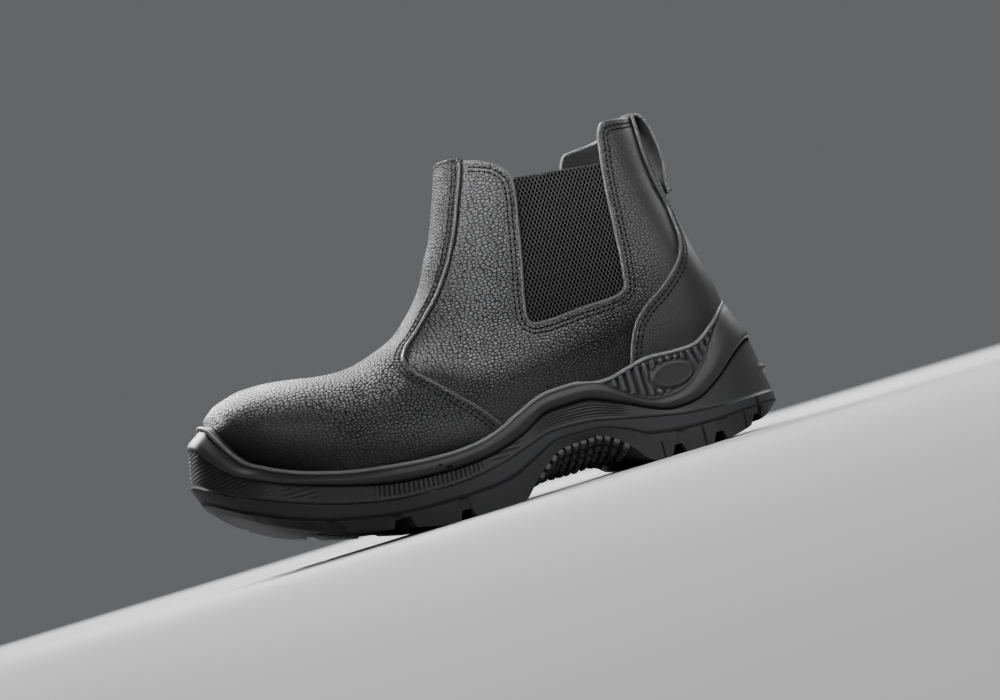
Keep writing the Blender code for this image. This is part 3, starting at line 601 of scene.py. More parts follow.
def linked(name, data):
    """New object in the scene."""
    obj = bpy.data.objects.new(name, data)
    bpy.context.scene.collection.objects.link(obj)
    return obj


def new_piece(name, points, faces, *materials):
    """Mesh object from boot millimetres that rides with the boot."""
    mesh = bpy.data.meshes.new(name)
    mesh.from_pydata(world(points).tolist(), [], [list(face) for face in faces])
    mesh.validate()
    obj = linked(name, mesh)
    for material in materials:
        mesh.materials.append(material)
    mesh.shade_smooth()
    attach(obj, BODY)
    return obj


def keep_value(obj, name, values):
    """Keeps a number at each point of a piece for its material."""
    made = obj.data.attributes.new(name, "FLOAT", "POINT")
    made.data.foreach_set("value", values)


def dress(obj, part):
    """Hides the solid that a piece stands in for; the piece is not used."""
    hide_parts(part)


def grid_faces(rows, count, wrap=False):
    """Quads of a grid of points, row after row."""
    index = np.arange(rows * count).reshape(rows, count)
    if wrap:
        index = np.column_stack([index, index[:, 0]])
    corners = (index[:-1, :-1], index[:-1, 1:], index[1:, 1:], index[1:, :-1])
    return np.stack([c.ravel() for c in corners], axis=1)


def joined(parts):
    """Points and faces of several meshes as one."""
    points = []
    faces = []
    total = 0
    for some_points, some_faces in parts:
        points.append(np.asarray(some_points))
        faces += [[i + total for i in face] for face in some_faces]
        total += len(some_points)
    return np.concatenate(points), faces


def last_skin():
    """Points, normals and faces of the whole last, with its creases pressed in."""
    heel_angle = polar(BACK)[0][HEEL_CORNER]
    fan = np.concatenate([
        np.linspace(0, heel_angle, COLLAR_RAYS),
        np.linspace(heel_angle, math.pi / 2, FOOT_RAYS)[1:],
    ])[:, None]
    along = (1 - np.cos(np.linspace(0, math.pi, RAY_POINTS)))[None, :] / 2
    near = smooth(*polar(RIDGE), fan)
    far = np.where(fan > heel_angle, smooth(*polar(FEATHER), fan), smooth(*polar(BACK), fan))
    reach = near + (far - near) * along
    fan_x = PIVOT_X - reach * np.cos(fan)
    fan_z = PIVOT_Z - reach * np.sin(fan)
    share = np.sin(np.linspace(0, math.pi / 2, TOE_RAYS + 1))[1:, None]
    top = toe_box("top", share)
    toe_z = top + (toe_box("low", share) - top) * along
    toe_x = PIVOT_X + share * (toe_front(toe_z) - PIVOT_X)
    x = np.concatenate([fan_x, toe_x])
    z = np.concatenate([fan_z, toe_z])
    sheets = []
    for side, sign in SIDES:
        wide = np.concatenate([fan_half_width(fan, reach, side), toe_half_width(share, toe_z, side)])
        sheets.append(np.stack([x, swing(x) + sign * wide, z], axis=2))
    lateral, medial = sheets
    grid = np.concatenate([medial[:, :0:-1], lateral], axis=1)
    bm = bmesh.new()
    verts = [bm.verts.new(p) for p in grid.reshape(-1, 3)]
    for face in grid_faces(*grid.shape[:2]):
        bm.faces.new([verts[i] for i in face])
    bmesh.ops.remove_doubles(bm, verts=bm.verts, dist=WELD)
    bmesh.ops.dissolve_degenerate(bm, edges=bm.edges, dist=SLIVER)
    bmesh.ops.recalc_face_normals(bm, faces=bm.faces)
    bm.normal_update()
    bm.verts.index_update()
    points = np.array([v.co for v in bm.verts])
    normals = np.array([v.normal for v in bm.verts])
    faces = [[v.index for v in face.verts] for face in bm.faces]
    bm.free()
    front = points[:, 0].argmax()
    if normals[front, 0] < 0:
        normals = -normals
        faces = [face[::-1] for face in faces]
    return points + normals * crease_depth(points)[:, None], normals, faces


def crease_depth(points):
    """How far the leather stands out or sinks at points of the upper."""
    x, y, z = points.T
    depth = np.zeros(len(points))
    for x1, z1, x2, z2, deep, width in zip(*CREASES.values()):
        along = np.array([x2 - x1, z2 - z1])
        length = np.hypot(*along)
        t = ((x - x1) * along[0] + (z - z1) * along[1]) / length ** 2
        aside = ((x - x1) * along[1] - (z - z1) * along[0]) / length
        fade = between(t, *CREASE_ENDS)
        trough = np.exp(-(aside / width) ** 2) - CREASE_SWELL * np.exp(-((aside - 2 * width) / width) ** 2)
        depth -= deep * trough * fade * (abs(y - swing(x)) > CREASE_CLEAR)
    return depth


def outline_field(points, outline):
    """Distance from a side-view outline, above zero inside it."""
    x, z = points[:, 0], points[:, 2]
    outline = np.asarray(outline, float)
    nearest = np.full(len(x), np.inf)
    inside = np.zeros(len(x), bool)
    for (x1, z1), (x2, z2) in zip(outline, np.roll(outline, -1, axis=0)):
        dx, dz = x2 - x1, z2 - z1
        t = np.clip(((x - x1) * dx + (z - z1) * dz) / max(dx * dx + dz * dz, 1e-9), 0, 1)
        nearest = np.minimum(nearest, np.hypot(x - x1 - t * dx, z - z1 - t * dz))
        if z1 != z2:
            crosses = (z1 > z) != (z2 > z)
            inside ^= crosses & (x < x1 + (z - z1) * dx / dz)
    return np.where(inside, nearest, -nearest)


def clip(data, faces, field):
    """Keeps the part of a surface where the field is above zero, cut cleanly along its zero line."""
    keep = field > 0
    extra = []
    cuts = {}
    kept = []
    for face in faces:
        flags = [keep[i] for i in face]
        if all(flags):
            kept.append(face)
        elif any(flags):
            ring = []
            for a, b in zip(face, face[1:] + face[:1]):
                if keep[a]:
                    ring.append(a)
                if keep[a] != keep[b]:
                    edge = (min(a, b), max(a, b))
                    if edge not in cuts:
                        t = field[a] / (field[a] - field[b])
                        cuts[edge] = len(data) + len(extra)
                        extra.append(data[a] + (data[b] - data[a]) * t)
                    ring.append(cuts[edge])
            kept.append(ring)
    data = np.concatenate([data, np.array(extra)]) if extra else data
    used = sorted({i for face in kept for i in face})
    place = {old: new for new, old in enumerate(used)}
    return data[used], [[place[i] for i in face] for face in kept]


def line_through(x, z, spacing=1.0, count=0):
    """Even points on a smooth side-view line, as many as asked for or one for each spacing."""
    run = np.concatenate([[0], np.cumsum(np.hypot(np.diff(x), np.diff(z)))])
    at = np.linspace(0, run[-1], count or int(run[-1] / spacing) + 1)
    return np.column_stack([smooth(run, x, at), smooth(run, z, at)])


def skin_at(line, side, sign):
    """Points and outward normals of the upper on a side-view line."""
    x, z = line.T
    nudge = 0.25

    def y_at(some_x, some_z):
        return swing(some_x) + sign * half_width(some_x, some_z, side)

    y = y_at(x, z)
    slope_x = (y_at(x + nudge, z) - y_at(x - nudge, z)) / (2 * nudge)
    slope_z = (y_at(x, z + nudge) - y_at(x, z - nudge)) / (2 * nudge)
    normal = unit(sign * np.column_stack([-slope_x, np.ones(len(x)), -slope_z]))
    points = np.column_stack([x, y, z])
    return points + normal * crease_depth(points)[:, None], normal


def seam_frames(line, side, sign, inset, spacing):
    """Evenly spaced points beside a seam, with the directions out of the leather and along the seam."""
    points, normal = skin_at(line, side, sign)
    along = unit(np.gradient(points, axis=0))
    aside = points + np.cross(normal, along) * inset * sign
    points, normal = skin_at(aside[:, [0, 2]], side, sign)
    run = np.concatenate([[0], np.cumsum(np.linalg.norm(np.diff(points, axis=0), axis=1))])
    at = np.arange(spacing / 2, run[-1], spacing)
    points = np.column_stack([np.interp(at, run, c) for c in points.T])
    normal = unit(np.column_stack([np.interp(at, run, c) for c in normal.T]))
    return points, normal, unit(np.gradient(points, axis=0))


def cord(centre, across, up, radius):
    """Points and faces of a round cord along a line."""
    turn = np.linspace(0, 2 * math.pi, EDGE_SIDES, endpoint=False)
    ring = across[:, None] * np.cos(turn)[None, :, None] + up[:, None] * np.sin(turn)[None, :, None]
    points = centre[:, None] + radius * ring
    return points.reshape(-1, 3), grid_faces(len(points), EDGE_SIDES, wrap=True)


def tube(points, normal, radius, lift):
    """Round edge along a line on the leather."""
    along = unit(np.gradient(points, axis=0))
    return cord(points + normal * lift, unit(np.cross(along, normal)), normal, radius)


def stitch_run(points, normal, along, lift):
    """Row of stitches, each a grain of thread sunk at its ends."""
    rings = np.linspace(0, math.pi, STITCH_SIDES)
    turn = np.linspace(0, 2 * math.pi, STITCH_SIDES, endpoint=False)
    across = np.cross(normal, along)
    parts = []
    for p, n, t, w in zip(points + normal * lift, normal, along, across):
        long = np.cos(rings)[:, None] * STITCH_LENGTH / 2
        wide = np.sin(rings)[:, None] * STITCH_RADIUS
        grain = (
            p
            + long[:, :, None] * t
            + (wide * np.cos(turn))[:, :, None] * w
            + (wide * np.sin(turn))[:, :, None] * n
        )
        parts.append((grain.reshape(-1, 3), grid_faces(len(rings), len(turn), wrap=True)))
    return parts


def pinholes(points, normal, along, lift):
    """Needle holes between the stitches of a row, as flat dark discs of painted shade."""
    turn = np.linspace(0, 2 * math.pi, HOLE_SIDES, endpoint=False)
    across = np.cross(normal, along)
    parts = []
    for p, n, t, w in zip(points, normal, along, across):
        centre = p + n * lift - t * STITCH_PITCH / 2
        ring = np.cos(turn)[:, None] * t * HOLE_LONG + np.sin(turn)[:, None] * w * HOLE_WIDE
        parts.append((centre + ring, [list(range(len(turn)))]))
    return parts


def sole_line(name, share):
    """Height of a named line along the sole's side."""
    if name == "between":
        return (sole_line("groove", share) + sole_line("band", share)) / 2
    return smooth(SOLE_LINES["share"], SOLE_LINES[name], share)


def sole_half_width(share, stand_out, side):
    """Half-width of the sole from its axis, on one side."""
    heel = crown(share * LENGTH, HEEL_ROUND, 2.0)
    toe = crown((1 - share) * LENGTH, BUMPER_ROUND, TOE_POWER)
    return (smooth(SOLE_OUTLINE["share"], SOLE_OUTLINE[side], share) + stand_out) * heel * toe


def sole_shares(count):
    """Shares of the length at even steps round the sole's outline."""
    fine = (1 - np.cos(np.linspace(0, math.pi, OUTLINE_STEPS))) / 2
    wide = sole_half_width(fine, 0, "lateral")
    run = np.concatenate([[0], np.cumsum(np.hypot(np.diff(fine) * LENGTH, np.diff(wide)))])
    return np.interp(np.linspace(0, run[-1], count + 1), run, fine)


def closed_loop(x, axis, wide, height):
    """Loop from half-widths: outer side from heel to toe, inner side back."""
    outer, inner = (np.column_stack([x, axis + sign * w, height]) for w, (_, sign) in zip(wide, SIDES))
    return np.concatenate([outer, inner[-2:0:-1]])


def sole_ring(share, back, front, stand_out, height, shrink=1.0, inset=0.0):
    """Closed loop round the sole."""
    x = back + (front - back) * share + inset * (1 - 2 * share) ** 3
    axis = swing(share * LENGTH)
    wide = [sole_half_width(share, stand_out, side) * shrink for side, sign in SIDES]
    return closed_loop(x, axis, wide, height)


def side_rings(share, table):
    """Dense loops of a sole's side, with the ring number of each loop."""
    rings = []
    for back, front, stand_out, line, lift, _ in table:
        rings.append(sole_ring(share, back, front, stand_out, sole_line(line, share) + lift))
    loops = []
    place = []
    for k, row in enumerate(table[:-1]):
        steps = np.linspace(0, 1, row[5], endpoint=False)
        loops += [rings[k] + (rings[k + 1] - rings[k]) * t for t in steps]
        place += [k + t for t in steps]
    loops.append(rings[-1])
    place.append(len(table) - 1)
    return np.array(loops), np.array(place)


def inside_last(points):
    """Whether points are inside the upper."""
    x, y, z = points.T
    return abs(y - swing(x)) < side_width(x, y, z)


def to_leather(ring):
    """Moves a loop of the sole inwards until it meets the leather."""
    middle = ring.copy()
    middle[:, 0] = np.clip(ring[:, 0], *LEATHER_MIDDLE)
    middle[:, 1] = swing(middle[:, 0])
    near, far = np.zeros(len(ring)), np.ones(len(ring))
    for _ in range(SEARCH_STEPS):
        t = (near + far) / 2
        hit = inside_last(ring + (middle - ring) * t[:, None])
        far = np.where(hit, t, far)
        near = np.where(hit, near, t)
    return ring + (middle - ring) * far[:, None]


def pulse(value):
    """Rounded ribs, one for each whole number."""
    return 0.5 + 0.5 * np.cos(2 * math.pi * value)


def rib_relief(x, z, place, run):
    """Painted light and shade on the midsole's side, lighter on the ribs' tops and darker in their grooves
    and under the lip, and the ribs' height with the oval pad and the kick ledge.
    """
    w = np.clip(place - RECESS, 0, 1)
    band = between(w, *BAND_ROWS) * (place > RECESS) * (place < RECESS + 1)
    dotted = between(x, *FRONT_DOTS) + between(x, *BACK_DOTS)
    rib = pulse(run / RIB_PITCH)
    toe_rib = pulse((z - TOE_RIB_SLOPE * (run.max() - run)) / TOE_RIB_PITCH)
    relief = band * between(x, *UPRIGHT_RIBS) * UPRIGHT_DEPTH[0] * (rib - UPRIGHT_DEPTH[1])
    relief += band * dotted * DOT_DEPTH[0] * (rib * pulse(z / RIB_PITCH) - DOT_DEPTH[1])
    relief += band * ramp(x, *TOE_RIBS) * TOE_DEPTH[0] * (toe_rib - TOE_DEPTH[1])
    waist_line = pulse(w * WAIST_LINE_COUNT)
    relief += band * between(x, *WAIST_LINES) * WAIST_DEPTH[0] * (waist_line - WAIST_DEPTH[1])
    lip = ramp(w, *LIP_ROWS) * (place > RECESS) * (place < RECESS + 1.04)
    ledge = np.exp(-((z - LEDGE_HEIGHT) / LEDGE_SOFT) ** 2)
    ledge = ledge * (1 - ramp(x, *LEDGE_END)) * (place < RECESS + 1)
    w = np.clip(place - LENS, 0, 1)
    lens = between(w, *LENS_ROWS) * (place > LENS) * (place < LENS + 1)
    lens = lens * between(x, *LENS_TEETH)
    oval = np.hypot((x - PAD_X) / PAD_LONG, (z - PAD_Z) / PAD_HIGH)
    lean = TOOTH_LEAN * (1 - ramp(x, *TEETH_UPRIGHT))
    tooth = pulse((x - lean * (z - PAD_Z)) / TOOTH_PITCH - TOOTH_SHIFT)
    teeth = np.clip((tooth - 0.2) / 0.45, 0, 1)
    relief += lens * ramp(oval, *PAD_MARGIN) * TOOTH_DEPTH[0] * (teeth - TOOTH_DEPTH[1])
    pad = 0.9 * (1 - ramp(oval, 0.95, 1.03)) + 0.4 * np.exp(-((oval - 0.88) / 0.05) ** 2)
    # A painted highlight along the lip's edge at the toe, with less painted shade under the lip there
    toe_lip = ramp(x, *TOE_LIP)
    lip_painted_highlight = toe_lip * np.exp(-((place - LIP) / 0.35) ** 2)
    shade = relief - 1.1 * lip * (1 - 0.6 * toe_lip) + 0.8 * lip_painted_highlight
    return shade, relief + lens * pad + LEDGE_STAND * ledge


def outward(loops):
    """Normals that point out of a stack of loops."""
    around = np.roll(loops, -1, axis=1) - np.roll(loops, 1, axis=1)
    normal = unit(np.cross(around, np.gradient(loops, axis=0)))
    centre = loops.mean(axis=(0, 1))
    if ((loops - centre) * normal)[:, :, :2].sum() < 0:
        normal = -normal
    return normal


def make_midsole(material, lit_bead_material):
    """Soft upper sole with its rim, ribs and oval pad."""
    share = sole_shares(SOLE_STATIONS)
    loops, place = side_rings(share, MIDSOLE_RINGS)
    for _ in range(PROFILE_SOFTEN):
        loops[1:-1] = loops[1:-1] * 0.5 + (loops[:-2] + loops[2:]) * 0.25
    normal = outward(loops)
    x, _, z = loops.transpose(2, 0, 1)
    steps = np.linalg.norm(np.diff(loops[0], axis=0), axis=1)
    run = np.concatenate([[0], np.cumsum(steps)])
    run = np.minimum(run, run[-1] + steps[0] - run)
    ribs, relief = rib_relief(x, z, place[:, None], run[None, :])
    loops = loops + normal * relief[:, :, None]
    rim = loops[-1]
    inner = to_leather(rim)
    below = inner.copy()
    below[:, 2] -= RIM_DEPTH
    mesh = np.concatenate([loops, [inner, below]])
    # Painted light and shade of the ribs and the lip, kept at the points for the sole's colour
    ridge = np.zeros(mesh.shape[:2])
    ridge[:len(loops)] = np.clip(ribs, -1, 1)
    count = mesh.shape[0] * mesh.shape[1]
    bead_points, bead_faces = rim_bead(rim)
    points = np.concatenate([mesh.reshape(-1, 3), bead_points])
    faces = grid_faces(*mesh.shape[:2], wrap=True)[:, ::-1].tolist()
    faces += (bead_faces + count).tolist()
    obj = new_piece("midsole_look", points, faces, material, lit_bead_material)
    keep_value(obj, "ridge", np.concatenate([ridge.ravel(), np.zeros(len(bead_points))]))
    # The bead's faces take the lighter bead material, a painted highlight along the rim's top
    kinds = np.zeros(len(faces), int)
    kinds[-len(bead_faces):] = 1
    obj.data.polygons.foreach_set("material_index", kinds)
    return obj


def rim_bead(rim):
    """Round bead on the rim's top edge, merged into the rim in front of the lens, clear of the leather."""
    along = unit(np.roll(rim, -1, axis=0) - np.roll(rim, 1, axis=0))
    across = unit(np.cross(along, (0, 0, 1)))
    merged = ramp(rim[:, :1], *BEAD_MERGES)
    centre = rim + (0, 0, BEAD_LIFT) - merged * (across * BEAD_OUT + (0, 0, BEAD_DROP))
    x, y, z = centre.T
    axis = swing(x)
    clear = np.maximum(abs(y - axis), side_width(x, y, z) + GAP + OVERLAY)
    centre[:, 1] = axis + np.sign(y - axis) * clear
    closed = [np.concatenate([rows, rows[:1]]) for rows in (centre, across, np.cross(across, along))]
    return cord(*closed, BEAD_RADIUS)


def seat_height(x):
    """Height of the last's lower edge along the boot."""
    toe_x = PIVOT_X + TOE_BOX["share"] * (toe_front(TOE_BOX["low"]) - PIVOT_X)
    feather_x, feather_z = line_through(*FEATHER.values(), 2.0)[:-1].T
    return np.interp(x, np.concatenate([feather_x, toe_x]), np.concatenate([feather_z, TOE_BOX["low"]]))


def arch_drop(share, shrink):
    """How far the middle of the arch hangs below its edges."""
    t = np.clip((share - ARCH_START) / (ARCH_END - ARCH_START), 0, 1)
    return ARCH_BULGE * np.sin(math.pi * t) ** ARCH_POWER * (1 - shrink ** 2)


def capped(loops):
    """Points and faces of a closed form through loops, capped straight across at both ends."""
    count = len(loops[0])
    tip = count // 2
    points = np.concatenate(loops)
    faces = grid_faces(len(loops), count, wrap=True).tolist()
    for start, turn in ((0, -1), (len(points) - count, 1)):
        cap = [[0, 1, count - 1]]
        cap += [[k, k + 1, count - k - 1, count - k] for k in range(1, tip - 1)]
        cap.append([tip - 1, tip, tip + 1])
        faces += [[start + i for i in face][::turn] for face in cap]
    return points, faces


def prism(loops):
    """Points and faces of a form through loops of corners, closed flat at both ends."""
    points = np.concatenate(loops)
    count = len(loops[0])
    faces = grid_faces(len(loops), count, wrap=True).tolist()
    faces += [list(range(count))[::-1], list(range(len(points) - count, len(points)))]
    return points, faces


def groove_box(x, y, ground, width, height, turn):
    """One slanted groove between two side lugs."""
    spin = np.array([[math.cos(turn), -math.sin(turn)], [math.sin(turn), math.cos(turn)]])
    loops = []
    for low in (-GROOVE_REACH, height):
        flare = GROOVE_TAPER * (height - low) / height
        half = np.array([width / 2 + flare, GROOVE_LENGTH / 2])
        corners = [spin @ (half * corner) for corner in CORNERS]
        loops.append([(x + across, y + along, ground + low) for across, along in corners])
    return prism(loops)


def tread_cutter():
    """All grooves of the tread."""
    parts = []
    for x, width, height in zip(*LUG_GROOVES.values()):
        ground = sole_line("ground", x / LENGTH)
        aside = GROOVE_INNER + GROOVE_LENGTH / 2
        for sign in (1, -1):
            parts.append(groove_box(x, sign * aside, ground, width, height, sign * GROOVE_SLANT))
    for start, end, aside in zip(*LONG_GROOVES.values()):
        loops = []
        for x in np.linspace(start, end, LONG_GROOVE_STEPS + 1):
            ground = sole_line("ground", x / LENGTH)
            y = swing(x) + aside
            left, right = y + LONG_GROOVE_WIDTH / 2, y - LONG_GROOVE_WIDTH / 2
            low, high = ground - GROOVE_REACH, ground + LONG_GROOVE_HEIGHT
            loops.append([(x, left, low), (x, left, high), (x, right, high), (x, right, low)])
        parts.append(prism(loops))
    return parts


def cut(obj, points, faces):
    """Cuts a form out of a piece."""
    mesh = bpy.data.meshes.new("cutter")
    mesh.from_pydata(world(points).tolist(), [], faces)
    bm = bmesh.new()
    bm.from_mesh(mesh)
    bmesh.ops.recalc_face_normals(bm, faces=bm.faces)
    bm.to_mesh(mesh)
    bm.free()
    cutter = linked("cutter", mesh)
    modifier = obj.modifiers.new("cut", "BOOLEAN")
    modifier.operation = "DIFFERENCE"
    modifier.solver = "EXACT"
    modifier.use_self = True
    modifier.object = cutter
    graph = bpy.context.evaluated_depsgraph_get()
    result = bpy.data.meshes.new_from_object(obj.evaluated_get(graph))
    obj.modifiers.clear()
    obj.data = result
    bpy.data.objects.remove(cutter)


def lug_gap(x):
    """One between two side lugs, nothing on a lug."""
    gap = np.zeros(x.shape)
    for at, width in zip(*LUG_GAPS.values()):
        gap = np.maximum(gap, 1 - ramp(abs(x - at), width / 2 - LUG_EDGE[0], width / 2 + LUG_EDGE[1]))
    return gap


def underside(share, shrink, sign):
    """Point of the outsole's underside."""
    back, front, stand_out = OUTSOLE_RINGS[-1][:3]
    side = "lateral" if sign > 0 else "medial"
    y = swing(share * LENGTH) + sign * sole_half_width(share, stand_out, side) * shrink
    z = sole_line("ground", share) - arch_drop(share, shrink)
    return np.array([back + (front - back) * share, float(y), float(z)])


def make_studs(material):
    """Rows of small studs under the arch, square to its curve."""
    parts = []
    for x in np.arange(STUD_START, STUD_END, STUD_PITCH):
        share = np.float64(x / LENGTH)
        fore, aft = share + STUD_STEP, share - STUD_STEP
        for sign in (1, -1):
            for row in STUD_ROWS:
                along = unit(underside(fore, row, sign) - underside(aft, row, sign))
                out, back = row + STUD_STEP, row - STUD_STEP
                across = unit(underside(share, out, sign) - underside(share, back, sign))
                down = unit(np.cross(along, across))
                down = -down if down[2] > 0 else down
                spot = underside(share, row, sign)
                loops = []
                for long, wide, height in STUD_LEVELS:
                    corners = [along * a * long + across * b * wide + down * height for a, b in CORNERS]
                    loops.append([spot + corner for corner in corners])
                parts.append(prism(loops))
    studs = new_piece("arch_studs", *joined(parts), material)
    studs.data.set_sharp_from_angle(angle=STUD_SHARP)


def make_outsole(material):
    """Hard lower sole with its lugs."""
    share = sole_shares(TREAD_STATIONS)
    back, front, stand_out = OUTSOLE_RINGS[0][:3]
    inset = UNDERSIDE_INSET * (1 - CORE_SHRINK)
    moved = share + inset * (1 - 2 * share) ** 3 / (front - back)
    core = np.minimum(sole_line("joint", moved), seat_height(moved * LENGTH) - CORE_DEPTH)
    loops = [sole_ring(share, back, front, stand_out, core, CORE_SHRINK, inset)]
    side, place = side_rings(share, OUTSOLE_RINGS)
    sunk = LUG_SINK * ramp(place, *LUG_RISE)[:, None] * lug_gap(side[:, :, 0])
    loops += list(side - outward(side) * sunk[:, :, None])
    back, front, stand_out = OUTSOLE_RINGS[-1][:3]
    for shrink in UNDERSIDE_SHRINK:
        inset = UNDERSIDE_INSET * (1 - shrink)
        moved = share + inset * (1 - 2 * share) ** 3 / (front - back)
        height = sole_line("ground", moved) - arch_drop(moved, shrink)
        loops.append(sole_ring(share, back, front, stand_out, height, shrink, inset))
    points, faces = capped(loops)
    outsole = new_piece("outsole_look", points, faces, material)
    # Painted shade along the step line, kept at the points for the sole's colour
    ridge = np.zeros((len(loops), len(loops[0])))
    ridge[1:1 + len(place)][(place > STEP_ROWS[0]) & (place < STEP_ROWS[1])] = STEP_SHADE
    keep_value(outsole, "ridge", ridge.ravel())
    cut(outsole, *joined(tread_cutter()))
    outsole.data.set_sharp_from_angle(angle=TREAD_SHARP)
    return outsole


def make_insole(material):
    """Footbed on the floor of the cup."""
    share = sole_shares(TREAD_STATIONS)
    start = FEATHER["x"][0]
    length = toe_front(TOE_BOX["low"][-1]) - start
    x = start + share * length
    loops = []
    for lift, shrink in INSOLE_LEVELS:
        inset = INSOLE_INSET + (1 - shrink) * INSOLE_ROUND
        own_x = start + inset + share * (length - 2 * inset)
        height = seat_height(own_x) + INSOLE_LIFT + lift * INSOLE
        wide = [half_width(x, seat_height(x), side) * INSOLE_SHARE * shrink for side, sign in SIDES]
        loops.append(closed_loop(own_x, swing(x), wide, height))
    return new_piece("insole_look", *capped(loops), material)


def make_pull_loop(material):
    """Woven tape over the collar's back edge, bowed out and sewn down below."""
    back = smooth(BACK["z"][HEEL_CORNER::-1], BACK["x"][HEEL_CORNER::-1], PULL_LOOP["z"])
    middle = np.array(LOOP_OVER_TOP + tuple(zip(back - PULL_LOOP["behind"], PULL_LOOP["z"])))
    middle = line_through(*middle.T, count=LOOP_POINTS)
    along = unit(np.gradient(middle, axis=0))
    normal = np.column_stack([-along[:, 1], along[:, 0]])
    corner = np.linspace(0, math.pi, TAPE_CORNER)
    half = TAPE_WIDTH / 2 - TAPE / 2
    edge = [(half + np.sin(a) * TAPE / 2, np.cos(a) * TAPE / 2) for a in corner]
    profile = edge + [(-y, -t) for y, t in edge]
    loops = []
    for y, t in profile:
        point = middle + normal * t
        loops.append(np.column_stack([point[:, 0], np.full(len(point), y), point[:, 1]]))
    return new_piece("pull_loop_look", *prism(np.array(loops).transpose(1, 0, 2)), material)


def rim_height(x):
    """Height of the midsole's rim along the boot."""
    back, front = MIDSOLE_RINGS[-1][:2]
    return sole_line("rim", np.clip((x - back) / (front - back), 0, 1))


def sheet(name, skin, field, seam, offset, thickness, *materials):
    """Panel cut from the last's skin, with a wall behind it and a stitching channel along its seam."""
    points, normals, faces = skin
    channel = between(seam, *CHANNEL)
    low = 1 - ramp(points[:, 2] - rim_height(points[:, 0]), *LASTED_FOLD)
    moved = points + normals * (offset - CHANNEL_DEPTH * channel)[:, None]
    kept, kept_faces = clip(np.column_stack([moved, channel, low]), faces, field)
    obj = new_piece(name, kept[:, :3], kept_faces, *materials)
    keep_value(obj, "channel", kept[:, 3])
    keep_value(obj, "low", kept[:, 4])
    wall = obj.modifiers.new("wall", "SOLIDIFY")
    wall.thickness = thickness * MM
    wall.offset = -1.0
    wall.material_offset = len(materials) - 1
    return obj


def make_panels(skin, looks):
    """Leather panels and elastic."""
    points = skin[0]
    x, y, z = points.T
    edge = np.column_stack([COLLAR_EDGE["x"], COLLAR_EDGE["z"]])
    above = [(-FAR, edge[-1, 1]), (-FAR, FAR), (COLLAR_FRONT, FAR), (COLLAR_FRONT, edge[0, 1])]
    field = -outline_field(points, list(edge) + above)
    shell = sheet("upper_look", skin, field, field, 0.0, LEATHER, looks["upper_leather"], looks["lining"])
    dress(shell, "upper")

    for part, seam, top, rest, finish in (
        ("vamp", VAMP_SEAM, VAMP_CUT, VAMP_REST, "vamp_leather"),
        ("heel_counter", COUNTER_SEAM, COUNTER_TOP, COUNTER_REST, "counter_leather"),
    ):
        own = outline_field(points, [*(p for p in line_through(*seam.values()) if p[1] < top), *rest])
        field = np.minimum(own, z - rim_height(x) + TUCKED_UNDER)
        panel = sheet(part + "_look", skin, field, own, GAP + OVERLAY, OVERLAY, looks[finish])
        dress(panel, part)

    gore_field = outline_field(points, np.column_stack([GORE_EDGE["x"], GORE_EDGE["z"]]))
    plain = np.zeros(len(points))
    for side, sign in SIDES:
        field = np.minimum(gore_field, sign * y)
        part = "gore_" + side
        gore = sheet(part + "_look", skin, field, plain, -LEATHER - GORE_GAP, ELASTIC, looks["elastic"])
        dress(gore, part)


def make_seams(looks):
    """Round edges, stitching and needle holes."""
    edges = []
    stitches = []
    holes = []

    def sew(line, side, sign, inset, lift):
        for row in STITCH_ROWS:
            run = seam_frames(line, side, sign, inset * row, STITCH_PITCH)
            stitches.extend(stitch_run(*run, lift - CHANNEL_DEPTH))
            holes.extend(pinholes(*run, lift - CHANNEL_DEPTH + HOLE_LIFT))

    for side, sign in SIDES:
        for seam, top, inset in ((VAMP_SEAM, VAMP_SEWN, -1), (COUNTER_SEAM, COUNTER_TOP, 1)):
            line = line_through(*seam.values())
            line = line[(line[:, 1] < top) & (line[:, 1] > rim_height(line[:, 0]) + SEAM_END)]
            lift = GAP + OVERLAY + EDGE_PROUD - EDGE_RADIUS
            edges.append(tube(*skin_at(line, side, sign), EDGE_RADIUS, lift))
            sew(line, side, sign, inset, GAP + OVERLAY)
        collar = line_through(*COLLAR_EDGE.values())
        collar = collar[collar[:, 0] < COLLAR_ROLLED]
        edges.append(tube(*skin_at(collar, side, sign), LEATHER / 2 + COLLAR_SWELL, -LEATHER / 2))
        sewn = (collar[:, 0] > COLLAR_SEWN[0]) & (collar[:, 0] < COLLAR_SEWN[1])
        sew(collar[sewn], side, sign, -1, 0.0)
    at = np.linspace(0, 2, LOOSE_POINTS)
    end = np.column_stack([np.interp(at, (0, 1, 2), row) for row in np.transpose(LOOSE_END)])
    stitches.append(tube(end, np.tile((0.0, 1.0, 0.0), (len(end), 1)), STITCH_RADIUS, 0.0))
    for name, parts, look in (
        ("rolled_edges", edges, "edge"),
        ("needle_holes", holes, "hole"),
        ("stitching", stitches, "thread"),
    ):
        new_piece(name, *joined(parts), looks[look])


